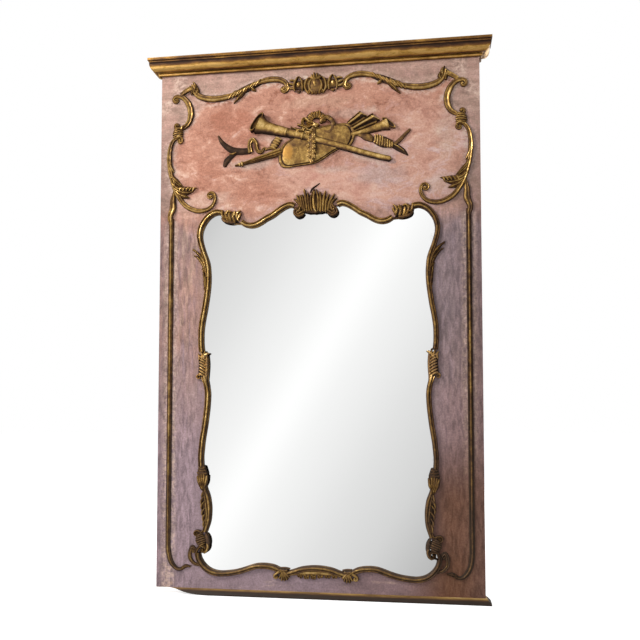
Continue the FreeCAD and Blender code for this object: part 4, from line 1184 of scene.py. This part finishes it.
def build_garland(bm):
    strip(bm, [(399, 1584), (393, 1563), (379, 1545), (352, 1534), (320, 1531), (290, 1534),
               (262, 1541)], [8, 16, 20, 21, 21, 20, 15], 9.0, FLUTE, start=3, end=3)
    volute(bm, [(188, 1572), (168, 1579), (138, 1583), (112, 1579), (95, 1568)], (101, 1550),
           (12.5, 140, 1.15), [12, 18, 20, 19, 17, 13, 10, 7], 9.5, (3.8, 9), start=3)
    strip(bm, [(270, 1538), (240, 1549), (210, 1562), (172, 1577)], [14, 22, 22, 14], 16.0, SHADE,
          start=3, end=3)
    for number, (x, z) in enumerate(GARLAND_BLADES):
        strip(bm, [(x + 13, z - 11), (x + 4, z - 1), (x - 6, z + 12 - number % 2 * 3)],
              [4, 10, 3], 12.5, BLADE, end=2, rows=8)
    blades(bm, [[(216, 1559), (238, 1537), (263, 1512)], [(230, 1560), (245, 1546), (247, 1528)],
                [(246, 1553), (259, 1546), (264, 1534)], [(208, 1562), (199, 1554), (190, 1547)]],
           [8, 13, 3], 11.0, VEIN)
    blades(bm, [[(398, 1548), (401, 1564), (407, 1580)], [(392, 1556), (388, 1576), (397, 1592)],
                [(386, 1548), (380, 1560), (383, 1574)]], [10, 13, 3], 11.0, VEIN)
    strip(bm, [(403, 1568), (417, 1561), (437, 1548)], [13, 12, 9], 10.0, BAND, end=3)


both_sides(build_garland, "garland")


# %% [markdown]
# The cartouche between the garlands is an oval boss with curved ribs and a smaller boss
# on each side. A fan of blades stands on it, and five short flutes hang under it.

# %% The cartouche
def build_top_cartouche(bm):
    strip(bm, [(-76, 1556), (-44, 1558), (0, 1560), (44, 1558), (76, 1556)], [18, 34, 44, 34, 18],
          9.0, DULL, start=5, end=5)
    strip(bm, [(0, 1527), (0, 1550), (0, 1578)], [36, 58, 34], 15.5, DULL, start=6, end=6)
    knob(bm, -3, 1559, 6.0, 14.5, 13.5, turn=8)
    for x, top in ((-20, 1583), (-13, 1592), (-5, 1598), (5, 1595), (14, 1589), (22, 1581)):
        strip(bm, [(x * .3, 1571), (x * .8, 1580), (x, top)], [6, 9, 3], 14.0, BLADE, end=3, rows=7)
    for side in (-1, 1):
        ribs = facing(side, [[(9, 1530), (19, 1545), (18, 1564), (8, 1577)],
                             [(24, 1530), (33, 1548), (30, 1568), (20, 1581)],
                             [(42, 1539), (41, 1556), (45, 1574), (53, 1587)],
                             [(66, 1539), (68, 1556), (63, 1572), (54, 1587)]])
        wing = facing(side, [[(70, 1548), (80, 1550), (90, 1558)], [(68, 1560), (78, 1563), (88, 1568)],
                             [(64, 1572), (74, 1575), (85, 1574)]])
        blades(bm, ribs, [5, 8, 8, 3], 13.0)
        blades(bm, wing, [6, 9, 3], 10.0)
        knob(bm, side * 54, 1559, 7.0, 10.0, 11.5, turn=side * 12)
        strip(bm, [(side * 47, 1541), (side * 54, 1536), (side * 61, 1541)], [5, 8, 5], 10.0, DULL,
              start=2, end=2)
    for x in (-22, -11, 0, 11, 22):
        strip(bm, [(x * .8, 1542), (x, 1533), (x * 1.04, 1525 + abs(x) * .12)], [6, 10, 7], 11.0,
              LOBE, end=4, rows=7)


one_piece(build_top_cartouche, "top_cartouche")

# %% [markdown]
# ## The trophy of music
# A trophy is a bundle of instruments hung on a ribbon: here a horn in front of the body
# of a viol, a pipe behind it, rolls of music, and a drop of flowers from a bow. The
# instruments are strips with a round or reeded section. The viol and the mouths of the
# horn and the pipe are dished shapes, so a second tool bends a grid round an outline:
# its columns follow the outline and its rows climb the rim and run in to the middle.

# %% Dished shapes
def dished(bm, outline, middle, profile, columns):
    """Rings that shrink from an outline to its middle. profile: size, height, relief."""
    ring = smooth_line(outline + [outline[0]], columns)
    middle = Vector(middle)

    def place(column, row):
        size, height, relief = profile[row]
        spot = middle + (ring[column % columns][0] - middle) * size
        return at(spot.x, spot.y, -SUNK if row == 0 else height), relief

    bent_grid(bm, columns, len(profile) - 1, place)


OVAL_PLACES = 16


def oval_line(x, z, half_long, half_short, turn):
    """Places round an ellipse whose long axis leans by turn degrees."""
    along = Vector((math.cos(math.radians(turn)), math.sin(math.radians(turn))))
    beside = Vector((-along.y, along.x))
    places = []
    for number in range(OVAL_PLACES):
        angle = 2 * math.pi * number / OVAL_PLACES
        places.append(tuple(Vector((x, z)) + along * half_long * math.cos(angle)
                            + beside * half_short * math.sin(angle)))
    return places


print(len(oval_line(0, 0, 2, 1, 0)), "places round an oval")

# %% The viol
VIOL = [(-118, 1338), (-117, 1317), (-107, 1301), (-88, 1297.5), (-60, 1301), (-30, 1304),
        (0, 1308), (25, 1321), (50, 1337), (78, 1351), (105, 1357), (119, 1375), (123, 1397),
        (117, 1417), (102, 1428), (75, 1430), (40, 1428), (5, 1420), (-40, 1406), (-80, 1388),
        (-108, 1366)]
VIOL_MIDDLE = (2, 1363)


def build_viol_body(bm):
    dished(bm, VIOL, VIOL_MIDDLE,
           [(1, 0, 0), (1, 4, .2), (.985, 5.4, .55), (.965, 5.8, .8), (.93, 5.4, .76), (.91, 4.2, .3),
            (.9, 4.2, .12), (.89, 8, .5), (.87, 8.8, .84), (.6, 8.9, .79), (.3, 8.9, .79),
            (.02, 8.9, .79)], 120)


one_piece(build_viol_body, "viol_body")


# %% [markdown]
# The horn crosses the viol from its bell on the left to its mouthpiece on the right. It
# stands clear of the viol, and its section's edges are painted dark as shade, so that the
# two don't melt together. The pipe lies behind them: a reeded stem on the left, a bell on
# the right.

# %% The horn
def build_horn(bm):
    strip(bm, [(-180, 1439), (-158, 1428), (-128, 1419), (-95, 1410), (-50, 1397), (10, 1378),
               (60, 1363), (100, 1350), (150, 1333), (200, 1318), (234, 1309)],
          [64, 41, 35, 32, 29.5, 27.5, 25.5, 24, 22.5, 21.8, 21.2, 20.6, 20, 19.6, 19, 18.5, 18,
           17.5, 17, 16.5, 15.5], [17, 15, 12, 10.5, 9.5, 9, 9, 9, 8.5, 8, 7.5], TUBE, lift=8.0, end=7)
    dished(bm, oval_line(-185, 1444, 35, 9, 54), (-185, 1444),
           [(1, 0, 0), (1, 12, .3), (1.0, 19, .6), (.95, 21.5, .98), (.87, 20.5, .7), (.78, 15, .15),
            (.55, 11, .66), (.2, 9, .8), (.02, 9, .8)], 48)
    for x, z, wide in ((-92, 1409.5, 28), (-40, 1394, 26)):
        strip(bm, [(x - 2.2, z + 0.7), (x + 2.2, z - 0.7)], wide, 21.0, ROUND, rows=3)


one_piece(build_horn, "horn")

# %% The pipe
REEDED = [(-1, 0), (-1, .35), (-.88, .8), (-.62, 1), (-.4, .84), (-.28, .5), (-.1, .72), (.12, .86),
          (.32, .6), (.42, .42), (.62, .7), (.82, .56), (1, .25), (1, 0)]


def build_pipe(bm):
    strip(bm, [(-258, 1311.7), (-238, 1315.5), (-200, 1324.5), (-150, 1338.3), (-108, 1350)],
          [5, 12, 17, 21, 25], 12.0, REEDED, start=3)
    strip(bm, [(-237.5, 1315.6), (-229.5, 1317.6)], 17, 9.5, ROUND, rows=4, start=2, end=2)
    strip(bm, [(-243.5, 1314.2), (-240, 1315)], 12, 8.0, ROUND, rows=3)
    strip(bm, [(110, 1393), (135, 1397), (165, 1404), (195, 1412.5), (224, 1421.5)],
          [14, 16, 19, 23, 29, 44], 13.0, TUBE)
    dished(bm, oval_line(226, 1422, 26, 7, -39), (226, 1422),
           [(1, 0, 0), (1, 7, .4), (1.0, 11, .7), (.94, 12.5, .95), (.84, 11.5, .6), (.66, 8, .1),
            (.3, 6, .45), (.02, 6, .5)], 40)


one_piece(build_pipe, "pipe")

# %% [markdown]
# Two rolled sheets stick out behind the viol. Their section has the steps of a sheet
# that is wound on itself. A pad painted dark as shade makes the mouth of each roll, and
# a thin strip makes the edge of the paper there.

# %% Rolls of music
SHEET = [(-1, 0), (-1, .45), (-.92, .78), (-.78, .5), (-.66, .4), (-.54, .86), (-.36, 1), (-.16, .95),
         (-.02, .5), (.1, .26), (.4, .24), (.52, .5), (.66, .8), (.82, .74), (1, .3), (1, 0)]


def build_music_rolls(bm):
    strip(bm, [(103, 1424), (125, 1438), (146, 1452)], [20, 27, 31], 11.5, SHEET)
    strip(bm, [(114, 1408), (150, 1425), (184, 1440)], [18, 28, 36], 12.0, SHEET)
    for a, b in (((135, 1456), (159, 1446)), ((171, 1446), (198, 1432))):
        middle = ((a[0] + b[0]) / 2 - 3, (a[1] + b[1]) / 2 - 2)
        strip(bm, [a, middle, b], [5, 11, 5], 31.0, SHADE, start=2, end=2)
        strip(bm, [(a[0] - 1, a[1] + 2), (middle[0] + 4, middle[1] + 3.5), (b[0] + 1, b[1] + 1)],
              [3, 4, 3], 13.0, ROUND, start=1, end=1)


one_piece(build_music_rolls, "music_rolls")

# %% [markdown]
# A gathered ribbon crowns the bundle. Nine lobes fan out over the knot, a wide loop
# hangs on the right and a small one on the left. Flowers hang from it: each has four
# round petals about a bead, and a dull strip behind them fills the gaps.

# %% The bow
BOW_LOBES = 9


def build_ribbon_bow(bm):
    strip(bm, [(-22, 1432), (-21, 1450), (-8, 1459), (10, 1459), (24, 1449), (24, 1434)],
          [12, 20, 24, 24, 20, 10], 24.0, SHADE, start=4, end=4)
    for number in range(BOW_LOBES):
        angle = math.radians(196 - number * 24)
        ax, az = math.cos(angle), math.sin(angle)
        far = 31 + 2.5 * math.cos(number * 2.6)
        strip(bm, [(3 + 13 * ax, 1441 + 10 * az), (3 + 22 * ax + 2 * az, 1441 + 21 * az),
                   (3 + far * ax, 1441 + far * az)], [7, 11, 13], [12, 15, 14], LOBE, end=5,
              rows=8)
    strip(bm, [(14, 1432), (20, 1443), (36, 1451), (50, 1441), (55, 1427), (50, 1410), (38, 1403),
               (24, 1410), (14, 1420)], [10, 14, 15, 15, 14, 15, 14, 12, 8], 14.5, DULL, start=3,
          end=3)
    strip(bm, [(-10, 1430), (-24, 1423), (-37, 1427), (-42, 1439), (-36, 1449), (-27, 1444),
               (-20, 1434)], [9, 10, 11, 11, 11, 10, 7], 14.5, FLUTE, start=3, end=3)
    strip(bm, [(-33, 1451), (-26, 1444), (-16, 1436)], [8, 9, 6], 15.5, BLADE, start=3, end=3)
    knob(bm, -1, 1428, 11, 9, 14)
    for x, z in ((-8, 1424), (2, 1421), (8, 1428), (-4, 1433)):
        knob(bm, x, z, 4.5, 3.6, 16, turn=x * 4)


one_piece(build_ribbon_bow, "ribbon_bow")


# %% The drop of flowers
def floret(bm, x, z, size, height):
    """A small flower: four round petals about a bead."""
    for number in range(4):
        angle = math.radians(number * 90 + x * 9)
        knob(bm, x + size * 0.85 * math.cos(angle), z + size * 0.85 * math.sin(angle),
             size * 0.62, size * 0.62, 4.5, lift=height - 6.0)
    knob(bm, x, z, size * 0.66, size * 0.66, 5.0, lift=height - 5.0)


FLOWERS = [(-20, 1400, 4.8), (-4, 1391, 5.2), (-19, 1377, 5), (-4, 1372, 4.8), (-21, 1361, 4.8),
           (-4, 1358, 5.2), (-19, 1345, 4.8), (-3, 1341, 5.4), (-19, 1330, 4.8), (-5, 1326, 5),
           (-12, 1313, 4.8), (-13, 1408, 4.4)]             # x, z, size


def build_flower_drop(bm):
    strip(bm, [(-6, 1418), (-10, 1385), (-10, 1350), (-9, 1308)], [16, 27, 27, 16], 24.0, DULL,
          end=6)
    for x, z, size in FLOWERS:
        floret(bm, x, z, size, 20.0)
    leaf(bm, [(-18, 1404), (-46, 1412), (-80, 1424)], [10, 15, 3], 14.0, 4, 13.0)
    leaf(bm, [(-20, 1412), (-42, 1426), (-58, 1434)], [9, 12, 3], 14.0, 3, 11.0)
    for x, z in ((-55, 1409), (-38, 1414), (-28, 1404)):
        floret(bm, x, z, 4.4, 16.5)


one_piece(build_flower_drop, "flower_drop")


# %% [markdown]
# The ribbon's ends wind round the instruments and fly out to both sides. Where they are
# gathered, short ribs lie side by side on a dull pad.

# %% Ribbons
def build_ribbon_left(bm):
    strip(bm, [(-312, 1411), (-301, 1391), (-283, 1373), (-262, 1361), (-235, 1357), (-206, 1358)],
          [5, 14, 19, 21, 21, 18], 17.0, SHADE)
    strip(bm, [(-262, 1358), (-246, 1354), (-226, 1354), (-208, 1357)], [4, 8, 9, 8], 9.0, DULL,
          start=2)
    strip(bm, [(-252, 1354), (-270, 1342), (-284, 1328), (-292, 1309)], [10, 16, 19, 10], 13.0,
          SHADE, end=3)
    strip(bm, [(-250, 1356), (-264, 1350), (-277, 1351)], [4, 7, 3], 9.0, BLADE, start=2, end=2)
    strip(bm, [(-206, 1352), (-210, 1374), (-206, 1389), (-197, 1392), (-190, 1380), (-187, 1364),
               (-181, 1353), (-171, 1353), (-163, 1364), (-152, 1358)],
          [17, 16, 15, 15, 14, 14, 13, 12, 9, 5], 9.5, FLUTE, end=3)
    strip(bm, [(-140, 1358), (-130, 1374), (-116, 1392)], [18, 28, 22], 12.0, DULL, start=3, end=3)
    for number in range(5):
        x, z = -136 + 4.6 * number, 1362 + 7.2 * number
        strip(bm, [(x - 10, z + 4.5), (x, z + 1.5), (x + 12, z - 5)], [6, 7.5, 5], 11.5, TUBE,
              start=3, end=3, rows=8)
    strip(bm, [(-160, 1358), (-148, 1362), (-136, 1362)], [6, 9, 8], 8.0, DULL)


KNOT_RIBS = [(184, 1376, 15), (191, 1374, 18), (199, 1371, 19), (206, 1368, 17), (214, 1362, 14),
             (221, 1360, 14), (228, 1358, 12), (235, 1356, 9)]      # x, z, half length


def build_ribbon_right(bm):
    blades(bm, [[(132, 1392), (152, 1384), (178, 1369)], [(150, 1390), (164, 1384), (180, 1376)]],
           [8, 20, 10], 10.0, DULL)
    strip(bm, [(183, 1376), (200, 1368), (238, 1356)], [26, 34, 22], 12.0, DULL, start=3, end=3)
    for number, (x, z, tall) in enumerate(KNOT_RIBS):
        strip(bm, [(x - 2 + number * .4, z - tall), (x + 2, z), (x + 1, z + tall * .92)],
              [6, 8.5, 6], 11.8, TUBE, start=3, end=3, rows=10)
    strip(bm, [(238, 1354), (256, 1343), (270, 1333), (284, 1320)], [16, 19, 15, 3], 12.0, SHADE)
    strip(bm, [(240, 1356), (256, 1346), (272, 1334)], [3, 5, 2], 8.5, BLADE)
    strip(bm, [(240, 1354), (258, 1368), (276, 1386), (292, 1402)], [11, 13, 11, 8], 8.5, DULL,
          end=4)


one_piece(build_ribbon_left, "ribbon_left")
one_piece(build_ribbon_right, "ribbon_right")


# %% [markdown]
# ## Floor, light and camera
# The studio is a pale floor under a white sky. Camera rays see plain white. The glass
# sees a soft gradient instead, brightest along a slanting band behind the camera, as a
# real studio wall would give it.

# %% Floor
FLOOR_RADIUS = 14.0
bm = bmesh.new()
bmesh.ops.create_circle(bm, cap_ends=True, segments=96, radius=FLOOR_RADIUS)
floor_mesh = bpy.data.meshes.new("studio_floor")
bm.to_mesh(floor_mesh)
bm.free()
floor = bpy.data.objects.new("studio_floor", floor_mesh)
bpy.context.scene.collection.objects.link(floor)

# %% The floor's finish
# It glows a little for the camera and doesn't show in the glass.
made = bpy.data.materials.new("studio_floor")
made.use_nodes = True
tree = made.node_tree
tree.nodes.remove(tree.nodes["Principled BSDF"])
floor_mesh.materials.append(made)
rays = add(tree, "LightPath").outputs
matt = add(tree, "BsdfDiffuse", {"Color": (0.82, 0.82, 0.82, 1)}).outputs[0]
glow = add(tree, "Emission", {"Color": (1, 1, 1, 1), "Strength": 0.72}).outputs[0]
seen = add(tree, "AddShader", {0: matt, 1: glow}).outputs[0]
direct = add(tree, "MixShader", {0: rays["Is Camera Ray"], 1: matt, 2: seen}).outputs[0]
clear = add(tree, "BsdfTransparent").outputs[0]
whole = add(tree, "MixShader", {0: rays["Is Glossy Ray"], 1: direct, 2: clear}).outputs[0]
tree.links.new(whole, tree.nodes["Material Output"].inputs["Surface"])

# %% Sky
# The wall that the glass sees fades away from a slanting line: SLANT holds how much a
# place's distance aside, its height and a fixed shift count towards its distance from it.
AMBIENT = 0.42
WALL_LIGHT = 1.08
SLANT = (1.96, -1.18, 0.37)
WALL_FADE = [(0.0, 1.0), (0.03, 0.98), (0.1, 0.905), (0.2, 0.835), (0.3, 0.755), (0.45, 0.66),
             (0.56, 0.54), (0.8, 0.3), (1.0, 0.16)]
world = bpy.data.worlds.new("studio")
bpy.context.scene.world = world
world.use_nodes = True
tree = world.node_tree
tree.nodes.clear()
rays = add(tree, "LightPath").outputs
way = axes_of(tree, add(tree, "TexCoord").outputs["Generated"])
towards = sums(tree, "MAXIMUM", times(tree, way["Y"], -1.0), 0.02)
aside, up = (sums(tree, "DIVIDE", way[axis], towards) for axis in "XZ")
off = unsigned(tree, plus(tree, times(tree, aside, SLANT[0]), times(tree, up, SLANT[1]), SLANT[2]))
spread = plus(tree, times(tree, aside, aside), times(tree, up, up))
wall = blend(tree, ground(tree, spread, 0.2, 1.3), ramp(tree, off, WALL_FADE), (0.24, 0.22, 0.19))
wall_light = add(tree, "Background", {"Color": wall, "Strength": WALL_LIGHT}).outputs[0]
even = add(tree, "Background", {"Color": (0.97, 0.985, 1, 1), "Strength": AMBIENT}).outputs[0]
white = add(tree, "Background", {"Color": (1, 1, 1, 1), "Strength": 1.0}).outputs[0]
sky = add(tree, "MixShader", {0: rays["Is Glossy Ray"], 1: even, 2: wall_light}).outputs[0]
sky = add(tree, "MixShader", {0: rays["Is Camera Ray"], 1: sky, 2: white}).outputs[0]
tree.links.new(sky, add(tree, "OutputWorld").inputs["Surface"])
print(len(tree.nodes), "nodes in the sky")


# %% Lamps
def lamp(name, place, aim, size, watts, tint=(1, 1, 1)):
    """A square lamp that looks at a place."""
    light = bpy.data.lights.new(name, "AREA")
    light.size = size
    light.energy = watts
    light.color = tint
    holder = bpy.data.objects.new(name, light)
    holder.location = place
    holder.rotation_euler = (Vector(aim) - Vector(place)).to_track_quat("-Z", "Y").to_euler()
    bpy.context.scene.collection.objects.link(holder)


lamp("window", (-2.1, -1.6, 2.5), (0.0, 0, 0.9), 0.8, 66, (1, 0.97, 0.93))
lamp("low_front", (-2.3, -2.4, 0.5), (0, 0, 1.5), 1.0, 14, (1, 0.96, 0.9))
lamp("far_side", (2.6, -1.2, 1.2), (0, 0, 0.9), 1.4, 3)
lamp("behind", (0.6, 2.6, 1.8), (0, 0, 0.8), 2.0, 40)
print(len(bpy.data.lights), "lamps")

# %% Camera
# The focal length, the shift and the two angles come from lining up the photograph's
# straight edges.
PITCH, YAW = 3.20, 8.35
view = bpy.data.cameras.new("camera")
view.sensor_width = 36.0
view.lens = 42.75
view.shift_y = 0.0656
camera = bpy.data.objects.new("camera", view)
camera.location = (0.349, -2.290, 0.581)
camera.rotation_euler = (math.radians(90 + PITCH), 0, math.radians(YAW))
bpy.context.scene.collection.objects.link(camera)
bpy.context.scene.camera = camera
bpy.context.scene.view_settings.view_transform = "Standard"
